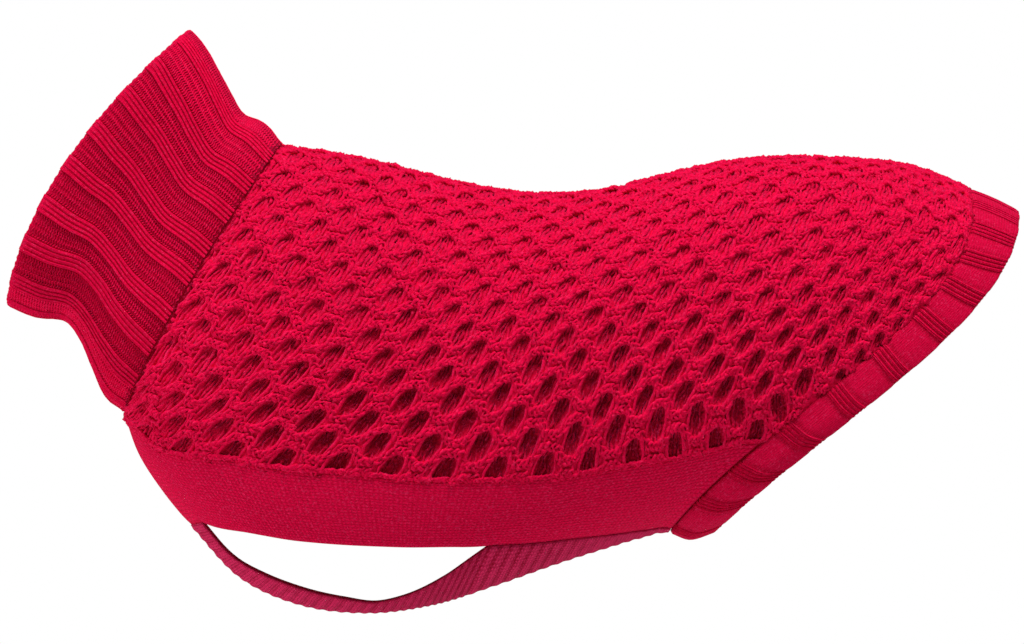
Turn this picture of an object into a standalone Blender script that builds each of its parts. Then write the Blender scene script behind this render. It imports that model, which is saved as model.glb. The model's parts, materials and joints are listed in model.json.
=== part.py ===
"""Knitted dog sweater in its worn shape, hollow: rib collar, honeycomb back, chest band, belly strap, hem.

The garment is a bent tube. Its rings lean back from the throat, as the cloth does between the legs.
Every piece is a wall built on that one tube, so that pieces which meet share their edge.
Lengths are in millimetres until the mesh is made. +X is towards the tail, +Z up, and Y=0 the mirror plane.
The origin is on the inner face of the back, where the sweater rests on the dog.
"""

import math

import bmesh
import bpy
import numpy as np

COLLECTION = "dog_sweater"
MM = 0.001

# Wall sizes. A face is how far a wall's outer side stands off the tube, negative inside it.
SEAM_GAP = 0.34
BACK_WALL = 3.0
BAND_FACE = -0.6
BAND_WALL = 2.2
BELLY_FACE = -0.4
BELLY_WALL = 2.0
RIDGE_HEIGHT = 0.5
HEM_WALL = 2.8

# The folded collar: a turned-down outer layer, a narrow gap, and the stand inside
COLLAR_LAYER = 1.6
COLLAR_GAP = 0.6
COLLAR_STAND = 2.1
COLLAR_RIBS = 20
HEM_RIBS = 24

# The ribs' section over one repeat: the place in it, and the height over the flat purl between ribs.
# A collar rib is centred on 0 with a groove on each side, and a hem rib on 0.5, as three wales.
SECTION_COLUMNS = ("place", "height")
COLLAR_SECTION = ((-0.5, 0.0), (-0.27, -0.35), (-0.19, 1.2), (0.19, 1.2), (0.27, -0.35))
COLLAR_RELIEF = 1.2
HEM_SECTION = (
    (0.0, 0.0),
    (0.29, -0.07),
    (0.36, 0.7),
    (0.42, 0.2),
    (0.5, 0.7),
    (0.58, 0.2),
    (0.64, 0.7),
    (0.71, -0.07),
)

# Where the ribs stand, which the cloth's stretch sets: a repeat's number from the spine, and its share of
# the girth. The other side mirrors it.
PLACE_COLUMNS = ("repeat", "share")
COLLAR_RIB_PLACES = ((0.0, 0.0), (2.0, 0.108), (5.0, 0.261), (7.0, 0.366), (10.0, 0.5))
HEM_RIB_PLACES = ((0.0, 0.0), (3.5, 0.107), (5.5, 0.177), (7.5, 0.277), (9.5, 0.387), (12.0, 0.5))

# The rings, one row each. A ring runs from its back point to its belly point in side view, and swells to
# half_width on each side. square makes it boxier. bow moves its flanks along X, and skew moves the upper
# flank back and the lower flank forward.
RING_COLUMNS = ("back_x", "back_z", "belly_x", "belly_z", "half_width", "square", "bow", "skew")
BODY_RINGS = (
    (-128.3, 26.5, -206.3, -104.6, 41.0, 0.050, -3.6, 0.0),
    (-111.0, 23.8, -198.8, -125.0, 50.0, 0.045, -2.5, 0.0),
    (-94.5, 21.5, -187.2, -143.0, 57.0, 0.040, -1.0, 0.0),
    (-74.5, 17.0, -170.5, -163.0, 63.0, 0.030, 0.0, 0.0),
    (-51.0, 10.8, -149.0, -185.5, 67.0, 0.020, 0.0, 0.0),
    (-24.5, 5.4, -119.5, -198.8, 68.0, 0.020, 0.0, 0.0),
    (2.5, 3.0, -86.5, -202.7, 68.0, 0.020, 0.0, 0.0),
    (32.0, 5.6, -55.0, -198.8, 67.0, 0.020, 0.5, 0.0),
    (66.0, 14.2, -23.5, -189.0, 66.0, 0.020, 2.0, 0.0),
    (105.0, 20.6, 5.5, -178.8, 66.0, 0.020, 5.0, 3.0),
    (146.5, 20.1, 30.0, -171.0, 66.0, 0.020, 10.0, 10.0),
    (180.5, 16.2, 47.0, -166.0, 64.0, 0.020, 15.0, 18.0),
    (205.5, 6.4, 60.0, -163.5, 61.0, 0.020, 20.5, 27.0),
    (220.0, 0.6, 71.0, -167.0, 60.5, 0.020, 21.5, 23.5),
    (232.5, -5.8, 84.0, -163.0, 59.0, 0.020, 19.5, 17.0),
)
HEM_RING = 12
COLLAR_RINGS = (
    (-126.5, 29.4, -208.0, -105.5, 44.0, 0.060, -4.5, 0.0),
    (-138.0, 38.2, -216.0, -95.0, 41.5, 0.065, -5.5, 0.0),
    (-147.0, 42.0, -221.8, -81.5, 39.5, 0.070, -7.5, 0.0),
    (-153.0, 51.9, -227.0, -69.3, 39.5, 0.070, -9.5, 0.0),
    (-158.8, 62.6, -234.0, -60.0, 40.5, 0.070, -12.0, 0.0),
    (-165.5, 74.5, -248.0, -58.2, 42.5, 0.065, -14.5, 0.0),
    (-173.5, 84.3, -264.2, -52.0, 44.0, 0.060, -16.5, 0.0),
)
# A rib band starts just past its seam: half the gap, and more for the lean of the rings
RIM_SETBACK = 0.6 * SEAM_GAP

# Seams and edges on the flank, as side-view points x, z from the chest to the hem
BAND_TOP = (
    (-200.3, -111.8),
    (-188.1, -122.1),
    (-163.6, -126.0),
    (-137.3, -129.9),
    (-88.4, -134.3),
    (-63.0, -136.7),
    (-22.0, -137.2),
    (7.3, -135.7),
    (41.5, -129.9),
    (75.7, -124.0),
    (96.2, -117.7),
)
LEG_FRONT = (-167.6, -158.2)
LEG_REAR = (-26.9, -169.4)
BAND_UNDER_LEG = (
    (-144.1, -163.1),
    (-119.7, -167.0),
    (-95.3, -168.9),
    (-70.8, -169.9),
    (-46.4, -169.9),
)
BAND_BEHIND_LEG = (
    (-2.4, -168.0),
    (26.9, -165.0),
    (46.4, -162.6),
)
STRAP_EDGE = (
    (-156.8, -170.9),
    (-137.3, -183.6),
    (-117.7, -190.9),
    (-98.2, -195.3),
    (-83.0, -197.3),
    (-68.9, -194.4),
    (-49.3, -185.1),
    (-36.6, -176.3),
)
STRAP_START_X = -173.5
BELLY_END_HALF_WIDTH = 15.0

# Mesh fineness
COLLAR_ROWS = (0.0, 0.13, 0.3, 0.47, 0.63, 0.8, 0.955)
BACK_COLUMNS = 17
BAND_COLUMNS = 7
STRAP_COLUMNS = 3
LEG_STEPS = 12
REAR_STEPS = 7
RIDGE_ROWS = 4
GIRTH_SAMPLES = 241
LENGTH_SAMPLES = 2001
HALVINGS = 40

CRIMSON = (0.62, 0.0, 0.035, 1.0)
ROSE = (0.52, 0.01, 0.06, 1.0)


# ---------------------------------------------------------------- the tube


def hermite(knots, rows, at):
    """A smooth curve through the rows, one row for each knot, read at the given knot values."""
    rows = np.asarray(rows, float)
    slopes = np.gradient(rows, knots, axis=0)
    at = np.clip(at, knots[0], knots[-1])
    low = np.clip(np.searchsorted(knots, at, side="right") - 1, 0, len(knots) - 2)
    width = (knots[low + 1] - knots[low])[..., None]
    s = (at - knots[low])[..., None] / width
    start = rows[low] * (1 + 2 * s) + slopes[low] * width * s
    end = rows[low + 1] * (3 - 2 * s) - slopes[low + 1] * width * (1 - s)
    return start * (1 - s) ** 2 + end * s**2


class Tube:
    """A tube lofted through leaning rings. u is 0 to 1 along it. g is the share of the girth, 0 at the
    spine, 0.5 at the belly and 1 back at the spine. It runs down the +Y side first."""

    def __init__(self, rings):
        self.rows = np.array(rings, float)
        back_steps = np.linalg.norm(np.diff(self.rows[:, 0:2], axis=0), axis=1)
        belly_steps = np.linalg.norm(np.diff(self.rows[:, 2:4], axis=0), axis=1)
        self.knots = np.concatenate([[0.0], np.cumsum(back_steps + belly_steps)])
        self.knots /= self.knots[-1]
        self.outwards = 1 if self.rows[-1, 0] > self.rows[0, 0] else -1

    def ring(self, u):
        """The ring at u, by the names of its columns."""
        values = hermite(self.knots, self.rows, np.asarray(u, float))
        return dict(zip(RING_COLUMNS, np.moveaxis(values, -1, 0)))

    @staticmethod
    def side_view(ring, high):
        """The x and z of a ring's point. high is 1 at the back and -1 at the belly."""
        drop = (1 - high) / 2
        bend = (1 - high**2) * (ring["bow"] + ring["skew"] * high)
        x = ring["back_x"] + (ring["belly_x"] - ring["back_x"]) * drop + bend
        return x, ring["back_z"] + (ring["belly_z"] - ring["back_z"]) * drop

    def at_angle(self, u, angle):
        """The point at a ring's own angle: 0 is the spine, pi the belly."""
        ring = self.ring(u)
        square = ring["square"]
        high = (np.cos(angle) - square * np.cos(3 * angle)) / (1 - square)
        wide = (np.sin(angle) + square * np.sin(3 * angle)) / (1 - square)
        x, z = self.side_view(ring, high)
        return np.stack([x, ring["half_width"] * wide, z], axis=-1)

    def girth_table(self, u):
        """The angles all round a ring, and the share of its girth passed at each."""
        angles = np.linspace(0, 2 * math.pi, GIRTH_SAMPLES)
        points = self.at_angle(np.asarray(u, float)[..., None], angles)
        passed = np.cumsum(np.linalg.norm(np.diff(points, axis=-2), axis=-1), axis=-1)
        girth = passed[..., -1]
        passed = np.concatenate([np.zeros_like(passed[..., :1]), passed], axis=-1)
        return angles, passed / girth[..., None], girth

    def angle(self, u, g):
        """The ring angle at a share of the girth. g below 0 is the -Y side of the spine."""
        u, g = np.broadcast_arrays(np.asarray(u, float), np.asarray(g, float))
        angles, shares, _ = self.girth_table(u.ravel())
        wrapped = np.mod(g.ravel(), 1.0)
        found = [np.interp(w, row, angles) for w, row in zip(wrapped, shares)]
        return np.array(found).reshape(u.shape)

    def point(self, u, g):
        return self.at_angle(u, self.angle(u, g))

    def normal(self, u, g):
        """The outward unit normal."""
        angle, step = self.angle(u, g), 1e-3
        low, high = np.clip(np.asarray(u, float) - step, 0, 1), np.clip(np.asarray(u, float) + step, 0, 1)
        along = self.at_angle(high, angle) - self.at_angle(low, angle)
        around = self.at_angle(u, angle + step) - self.at_angle(u, angle - step)
        normal = np.cross(along, around) * self.outwards
        return normal / np.linalg.norm(normal, axis=-1, keepdims=True)

    def girth(self, u):
        return float(self.girth_table(np.array([u]))[2][0])

    def from_side(self, x, z):
        """The u and g of the point on the +Y side that side view shows at x, z."""
        low, high = 0.0, 1.0
        for _ in range(HALVINGS):
            u = (low + high) / 2
            ring = self.ring(u)
            drop = np.clip((ring["back_z"] - z) / (ring["back_z"] - ring["belly_z"]), 0.0, 1.0)
            side_x, _ = self.side_view(ring, 1 - 2 * drop)
            low, high = (u, high) if side_x < x else (low, u)
        angles = np.linspace(0, math.pi, GIRTH_SAMPLES)
        heights = self.at_angle(u, angles)[:, 2]
        angle = np.interp(-z, -heights, angles)
        all_angles, shares, _ = self.girth_table(np.array([u]))
        return u, float(np.interp(angle, all_angles, shares[0]))

    def belly_at(self, x):
        """The u where the belly line reaches x."""
        u = np.linspace(0, 1, LENGTH_SAMPLES)
        return float(np.interp(x, self.ring(u)["belly_x"], u))

    def past_seam(self, seam_u, shares):
        """The u just past the seam ring at seam_u, for each share of the girth."""
        step = 0.01
        reach = np.linalg.norm(self.point(seam_u + step, shares) - self.point(seam_u, shares), axis=1)
        return seam_u + step * RIM_SETBACK / reach


BODY = Tube(BODY_RINGS)
NECK = Tube(COLLAR_RINGS)
HEM_U = float(BODY.knots[HEM_RING])


def spaced(curve, count):
    """count + 1 places at even distances along a curve of u, g places on the body."""
    curve = np.array(curve, float)
    chords = np.linalg.norm(np.diff(BODY.point(curve[:, 0], curve[:, 1]), axis=0), axis=1)
    knots = np.concatenate([[0.0], np.cumsum(chords)])
    return hermite(knots, curve, np.linspace(0, knots[-1], count + 1))


def band_edges():
    """The two edges of the chest band on the +Y side, as u, g places from the chest to the hem.

    Both have the same number of places, so the band is a strip of quads. The lower edge starts with the
    strap's seam, a parabola across the chest, and then follows the leg opening and the belly seam."""
    start_u = BODY.belly_at(STRAP_START_X)
    front, rear = BODY.from_side(*LEG_FRONT), BODY.from_side(*LEG_REAR)
    share = np.linspace(0, 1, STRAP_COLUMNS + 1)
    seam = [(strap_row(front[0], start_u, s), 0.5 - s * (0.5 - front[1])) for s in share]
    leg = spaced([front] + [BODY.from_side(*p) for p in BAND_UNDER_LEG] + [rear], LEG_STEPS)
    end = (HEM_U, 0.5 - BELLY_END_HALF_WIDTH / BODY.girth(HEM_U))
    behind = spaced([rear] + [BODY.from_side(*p) for p in BAND_BEHIND_LEG] + [end], REAR_STEPS)
    lower = np.concatenate([seam, leg[1:], behind[1:]])
    top = [(0.0, 0.5)] + [BODY.from_side(*p) for p in BAND_TOP]
    top[-1] = (HEM_U, top[-1][1])
    return spaced(top, len(lower) - 1), lower


def strap_row(edge_u, middle_u, share):
    """u across a row of the belly panel: middle_u at the belly line, edge_u at share 1, a parabola."""
    return edge_u + (middle_u - edge_u) * (1 - share**2)


# ---------------------------------------------------------------- walls


def inset(points, normals, sides, distance):
    """Moves the named edges of a grid of points inwards over the surface, so that a seam stays open."""
    moved = points.copy()
    edges = {"first_row": (0, slice(None)), "last_row": (-1, slice(None)),
             "first_column": (slice(None), 0), "last_column": (slice(None), -1)}
    inner = {"first_row": (1, slice(None)), "last_row": (-2, slice(None)),
             "first_column": (slice(None), 1), "last_column": (slice(None), -2)}
    for side in sides:
        edge = points[edges[side]]
        along = np.gradient(edge, axis=0)
        inwards = np.cross(normals[edges[side]], along)
        inwards /= np.linalg.norm(inwards, axis=-1, keepdims=True)
        towards = points[inner[side]] - edge
        inwards *= np.sign(np.sum(inwards * towards, axis=-1, keepdims=True))
        moved[edges[side]] += inwards * distance
    return moved


def wall_loops(points, normals, outer, inner):
    """One closed loop for each row of a panel: its outer points, then its inner ones on the way back."""
    outside = points + normals * np.asarray(outer)[..., None]
    inside = points + normals * np.asarray(inner)[..., None]
    return np.concatenate([outside, inside[:, ::-1]], axis=1)


def add_solid(name, loops, ring, colour):
    """A closed solid through loops of points. ring joins the last loop to the first; otherwise the two
    ends are closed with quads across the wall."""
    mesh = bpy.data.meshes.new(name)
    bm = bmesh.new()
    count, size = loops.shape[0], loops.shape[1]
    rows = [[bm.verts.new(p * MM) for p in loop] for loop in loops]
    for i in range(count if ring else count - 1):
        here, there = rows[i], rows[(i + 1) % count]
        for j in range(size):
            k = (j + 1) % size
            bm.faces.new((here[j], here[k], there[k], there[j]))
    if not ring:
        for end in (rows[0], rows[-1]):
            for j in range(size // 2 - 1):
                bm.faces.new((end[j], end[j + 1], end[size - 2 - j], end[size - 1 - j]))
    bmesh.ops.recalc_face_normals(bm, faces=bm.faces)
    bmesh.ops.triangulate(bm, faces=bm.faces, quad_method="SHORT_EDGE")
    if bm.calc_volume(signed=True) < 0:
        bmesh.ops.reverse_faces(bm, faces=bm.faces)
    bm.to_mesh(mesh)
    bm.free()
    mesh.materials.append(knit_material(name, colour))
    mesh.shade_smooth()
    mesh.set_sharp_from_angle(angle=math.radians(50))
    solid = bpy.data.objects.new(name, mesh)
    bpy.data.collections[COLLECTION].objects.link(solid)
    return solid


def knit_material(name, colour):
    material = bpy.data.materials.new(name + "_knit")
    material.use_nodes = True
    shader = material.node_tree.nodes["Principled BSDF"]
    shader.inputs["Base Color"].default_value = colour
    shader.inputs["Roughness"].default_value = 0.9
    shader.inputs["Metallic"].default_value = 0.0
    return material


# ---------------------------------------------------------------- the pieces


def make_back_panel():
    """The honeycomb panel: all round the neck, then open below, down to the chest band on both sides."""
    top, _ = band_edges()
    across = np.linspace(-1, 1, 2 * BACK_COLUMNS + 1)
    u = np.repeat(top[:, :1], len(across), axis=1)
    g = top[:, 1:] * across
    points, normals = BODY.point(u, g), BODY.normal(u, g)
    points = inset(points, normals, ("first_row", "last_row", "first_column", "last_column"), SEAM_GAP / 2)
    return add_solid("back_panel", wall_loops(points, normals, 0.0, -BACK_WALL), False, CRIMSON)


def make_chest_band():
    """The plain band: a strip from the hem on one side, across the chest, to the hem on the other."""
    top, lower = band_edges()
    across = np.linspace(0, 1, BAND_COLUMNS + 1)[:, None]
    half = top[:, None, :] * (1 - across) + lower[:, None, :] * across
    mirrored = half[:0:-1].copy()
    mirrored[..., 1] = 1 - mirrored[..., 1]
    places = np.concatenate([mirrored, half])
    points, normals = BODY.point(places[..., 0], places[..., 1]), BODY.normal(places[..., 0], places[..., 1])
    points = inset(points, normals, ("first_row", "last_row", "first_column", "last_column"), SEAM_GAP / 2)
    loops = wall_loops(points, normals, BAND_FACE, BAND_FACE - BAND_WALL)
    return add_solid("chest_band", loops, False, CRIMSON)


def make_belly_panel():
    """The strap between the legs and the belly behind them, with a ridge on every second row."""
    _, lower = band_edges()
    front, rear = lower[STRAP_COLUMNS], lower[STRAP_COLUMNS + LEG_STEPS]
    strap = spaced([front] + [BODY.from_side(*p) for p in STRAP_EDGE] + [rear], LEG_STEPS * RIDGE_ROWS)
    belly_seam = spaced(lower[STRAP_COLUMNS + LEG_STEPS:], REAR_STEPS * RIDGE_ROWS)
    edge = np.concatenate([strap, belly_seam[1:]])
    lead = (lower[0][0] - front[0]) * np.linspace(1, 0, len(edge)) ** 2
    share = np.linspace(-1, 1, 2 * STRAP_COLUMNS + 1)
    u = strap_row(edge[:, :1], edge[:, :1] + lead[:, None], share)
    g = 0.5 + share * (0.5 - edge[:, 1:])
    points, normals = BODY.point(u, g), BODY.normal(u, g)
    points = inset(points, normals, ("first_row", "last_row", "first_column", "last_column"), SEAM_GAP / 2)
    ridge = RIDGE_HEIGHT * (np.arange(len(edge)) % 2)[:, None]
    loops = wall_loops(points, normals, BELLY_FACE + ridge + 0 * share, BELLY_FACE - BELLY_WALL)
    return add_solid("belly_panel", loops, False, ROSE)


def rib_columns(count, section, places):
    """The columns of points that make count ribs: each one's share of the girth, and its height."""
    section = dict(zip(SECTION_COLUMNS, np.array(section).T))
    places = dict(zip(PLACE_COLUMNS, np.array(places).T))
    repeats = (np.arange(count)[:, None] + section["place"]).ravel()
    repeats = (repeats + count / 2) % count - count / 2
    knots = np.concatenate([-places["repeat"][:0:-1], places["repeat"]])
    shares = np.concatenate([-places["share"][:0:-1], places["share"]])
    return hermite(knots, shares[:, None], repeats)[:, 0], np.tile(section["height"], count)


def make_hem_band():
    """The rib hem: a ring with a rounded edge and groups of three raised wales."""
    shares, relief = rib_columns(HEM_RIBS, HEM_SECTION, HEM_RIB_PLACES)
    # the profile of the wall: share of the band's width, depth below the face, share of the relief
    face = [(0.0, 0.0, 0.5), (0.5, 0.0, 1.0), (0.95, 0.0, 1.0)]
    edge = [(1.0, 0.25 * HEM_WALL, 0.6), (1.0, 0.75 * HEM_WALL, 0.0)]
    inside = [(along, HEM_WALL, 0.0) for along, _, _ in reversed(face)]
    start = BODY.past_seam(HEM_U, shares)
    rows = []
    for along, depth, share in face + edge + inside:
        u = start + (1 - start) * along
        rows.append(BODY.point(u, shares) + BODY.normal(u, shares) * (relief * share - depth)[:, None])
    return add_solid("hem_band", np.stack(rows, axis=1), True, CRIMSON)


def make_collar():
    """The folded collar: its profile runs down the ribbed outer layer's face, round the fold, down the
    stand, and back up between the two layers. The crests of the ribs lie on the neck tube."""
    shares, relief = rib_columns(COLLAR_RIBS, COLLAR_SECTION, COLLAR_RIB_PLACES)
    back = COLLAR_RELIEF + COLLAR_LAYER
    stand = back + COLLAR_GAP
    inside = stand + COLLAR_STAND
    # the profile: share of the collar's length from the seam, depth, share of the ribs' relief
    face = [(v, 0.0, 1.0) for v in COLLAR_ROWS]
    fold = [(1.0, 0.25 * inside, 0.5), (1.0, 0.75 * inside, 0.0)]
    lining = [(v, inside, 0.0) for v in reversed(COLLAR_ROWS)]
    between = [(v, stand, 0.0) for v in COLLAR_ROWS[:-1]]
    between += [(v, back, 0.0) for v in reversed(COLLAR_ROWS[:-1])]
    start = NECK.past_seam(0.0, shares)
    rows = []
    for along, depth, share in face + fold + lining + between:
        u = start + (1 - start) * along
        sunk = depth + (COLLAR_RELIEF - relief) * share
        rows.append(NECK.point(u, shares) - NECK.normal(u, shares) * sunk[:, None])
    return add_solid("collar", np.stack(rows, axis=1), True, CRIMSON)


def build():
    for old in list(bpy.data.objects):
        bpy.data.objects.remove(old)
    bpy.context.scene.collection.children.link(bpy.data.collections.new(COLLECTION))
    make_back_panel()
    make_chest_band()
    make_belly_panel()
    make_collar()
    make_hem_band()


build()
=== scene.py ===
# %% [markdown]
# # A knitted dog sweater
# The sweater is a bent tube of wool knit: a folded rib collar, a honeycomb panel over the back, a plain band
# round the chest, a ridged strap under the belly and a rib hem. Each piece is modelled here as cloth with
# its own knitting on it, yarn by yarn, over the fixed frame that says where every piece is.

import json
import math
from typing import NamedTuple

import bpy
import numpy as np
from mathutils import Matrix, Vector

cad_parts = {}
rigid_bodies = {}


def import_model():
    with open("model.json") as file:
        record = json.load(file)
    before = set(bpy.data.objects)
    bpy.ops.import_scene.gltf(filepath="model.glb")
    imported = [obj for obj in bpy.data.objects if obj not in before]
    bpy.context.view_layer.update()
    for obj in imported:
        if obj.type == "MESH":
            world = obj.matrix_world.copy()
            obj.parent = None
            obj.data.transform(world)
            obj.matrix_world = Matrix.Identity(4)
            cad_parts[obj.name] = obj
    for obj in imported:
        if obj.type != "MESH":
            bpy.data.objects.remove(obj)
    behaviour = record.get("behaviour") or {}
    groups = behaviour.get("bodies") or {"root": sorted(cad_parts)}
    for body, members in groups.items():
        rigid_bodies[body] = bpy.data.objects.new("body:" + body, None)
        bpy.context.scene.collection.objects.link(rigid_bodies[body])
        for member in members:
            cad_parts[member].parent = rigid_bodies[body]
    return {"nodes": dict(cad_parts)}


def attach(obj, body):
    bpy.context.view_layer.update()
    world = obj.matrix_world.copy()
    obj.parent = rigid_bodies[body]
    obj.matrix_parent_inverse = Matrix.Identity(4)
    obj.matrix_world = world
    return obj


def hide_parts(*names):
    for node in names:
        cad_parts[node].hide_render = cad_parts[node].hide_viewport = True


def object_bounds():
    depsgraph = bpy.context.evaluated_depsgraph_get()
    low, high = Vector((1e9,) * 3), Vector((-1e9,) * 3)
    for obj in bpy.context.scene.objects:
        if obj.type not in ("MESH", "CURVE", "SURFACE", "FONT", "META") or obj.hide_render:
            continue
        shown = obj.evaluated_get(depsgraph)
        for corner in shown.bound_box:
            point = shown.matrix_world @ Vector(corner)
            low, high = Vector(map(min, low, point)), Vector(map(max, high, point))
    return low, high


for leftovers in (bpy.data.objects, bpy.data.materials):
    for old in list(leftovers):
        leftovers.remove(old)
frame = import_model()
cad_low, cad_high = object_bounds()
print("frame nodes:", ", ".join(sorted(frame["nodes"])))

MM = 0.001

# %% [markdown]
# ## The tube
# Every piece lies on one bent tube, so the tube comes first. It is lofted through leaning rings. A ring has
# a back point and a belly point in side view, and swells to a half width. A place on the cloth is then two
# numbers: u along the tube and g round it. A subdivided mesh could be pushed into this shape as well, but
# working in u and g keeps the knitting aligned with the garment, as it is on the needles.

# %% The rings, in millimetres
RING_COLUMNS = ("back_x", "back_z", "belly_x", "belly_z", "half_width", "square", "bow", "skew")
BODY_RINGS = (
    (-128.3, 26.5, -206.3, -104.6, 41.0, 0.050, -3.6, 0.0),
    (-111.0, 23.8, -198.8, -125.0, 50.0, 0.045, -2.5, 0.0),
    (-94.5, 21.5, -187.2, -143.0, 57.0, 0.040, -1.0, 0.0),
    (-74.5, 17.0, -170.5, -163.0, 63.0, 0.030, 0.0, 0.0),
    (-51.0, 10.8, -149.0, -185.5, 67.0, 0.020, 0.0, 0.0),
    (-24.5, 5.4, -119.5, -198.8, 68.0, 0.020, 0.0, 0.0),
    (2.5, 3.0, -86.5, -202.7, 68.0, 0.020, 0.0, 0.0),
    (32.0, 5.6, -55.0, -198.8, 67.0, 0.020, 0.5, 0.0),
    (66.0, 14.2, -23.5, -189.0, 66.0, 0.020, 2.0, 0.0),
    (105.0, 20.6, 5.5, -178.8, 66.0, 0.020, 5.0, 3.0),
    (146.5, 20.1, 30.0, -171.0, 66.0, 0.020, 10.0, 10.0),
    (180.5, 16.2, 47.0, -166.0, 64.0, 0.020, 15.0, 18.0),
    (205.5, 6.4, 60.0, -163.5, 61.0, 0.020, 20.5, 27.0),
    (220.0, 0.6, 71.0, -167.0, 60.5, 0.020, 21.5, 23.5),
    (232.5, -5.8, 84.0, -163.0, 59.0, 0.020, 19.5, 17.0),
)
HEM_RING = 12
COLLAR_RINGS = (
    (-126.5, 29.4, -208.0, -105.5, 44.0, 0.060, -4.5, 0.0),
    (-138.0, 38.2, -216.0, -95.0, 41.5, 0.065, -5.5, 0.0),
    (-147.0, 42.0, -221.8, -81.5, 39.5, 0.070, -7.5, 0.0),
    (-153.0, 51.9, -227.0, -69.3, 39.5, 0.070, -9.5, 0.0),
    (-158.8, 62.6, -234.0, -60.0, 40.5, 0.070, -12.0, 0.0),
    (-165.5, 74.5, -248.0, -58.2, 42.5, 0.065, -14.5, 0.0),
    (-173.5, 84.3, -264.2, -52.0, 44.0, 0.060, -16.5, 0.0),
)
print(len(BODY_RINGS), "rings for the body,", len(COLLAR_RINGS), "for the collar")


# %% Helpers for curves, lengths and shares
def unit(vectors):
    """The vectors at a length of 1."""
    return vectors / np.linalg.norm(vectors, axis=-1, keepdims=True)


def distances(steps):
    """How far each point of a line lies from its start, from the steps between the points."""
    return np.concatenate([[0.0], np.cumsum(steps)])


def pairs(first, second):
    """Two arrays as one array of pairs, each spread over the other's shape."""
    return np.stack(np.broadcast_arrays(first, second), axis=-1)


def ramp(value, start, end):
    """0 before start, 1 after end, a straight line between."""
    return np.clip((value - start) / (end - start), 0, 1)


def bell(value, middle, width):
    """1 at the middle, fading to nothing within about twice the width."""
    return np.exp(-(((value - middle) / width) ** 2))


def hermite(knots, rows, at):
    """A smooth curve through the rows, one row for each knot, read at the given knot values."""
    knots, rows = np.asarray(knots, float), np.asarray(rows, float)
    slopes = np.gradient(rows, knots, axis=0)
    at = np.clip(at, knots[0], knots[-1])
    low = np.clip(np.searchsorted(knots, at, side="right") - 1, 0, len(knots) - 2)
    width = (knots[low + 1] - knots[low])[..., None]
    s = (at - knots[low])[..., None] / width
    start = rows[low] * (1 + 2 * s) + slopes[low] * width * s
    end = rows[low + 1] * (3 - 2 * s) - slopes[low + 1] * width * (1 - s)
    return start * (1 - s) ** 2 + end * s**2


# %% The tube itself
GIRTH_SAMPLES = 241
RING_SAMPLES = 241
HALVINGS = 40
SLOPE_STEP = 1e-3


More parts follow.
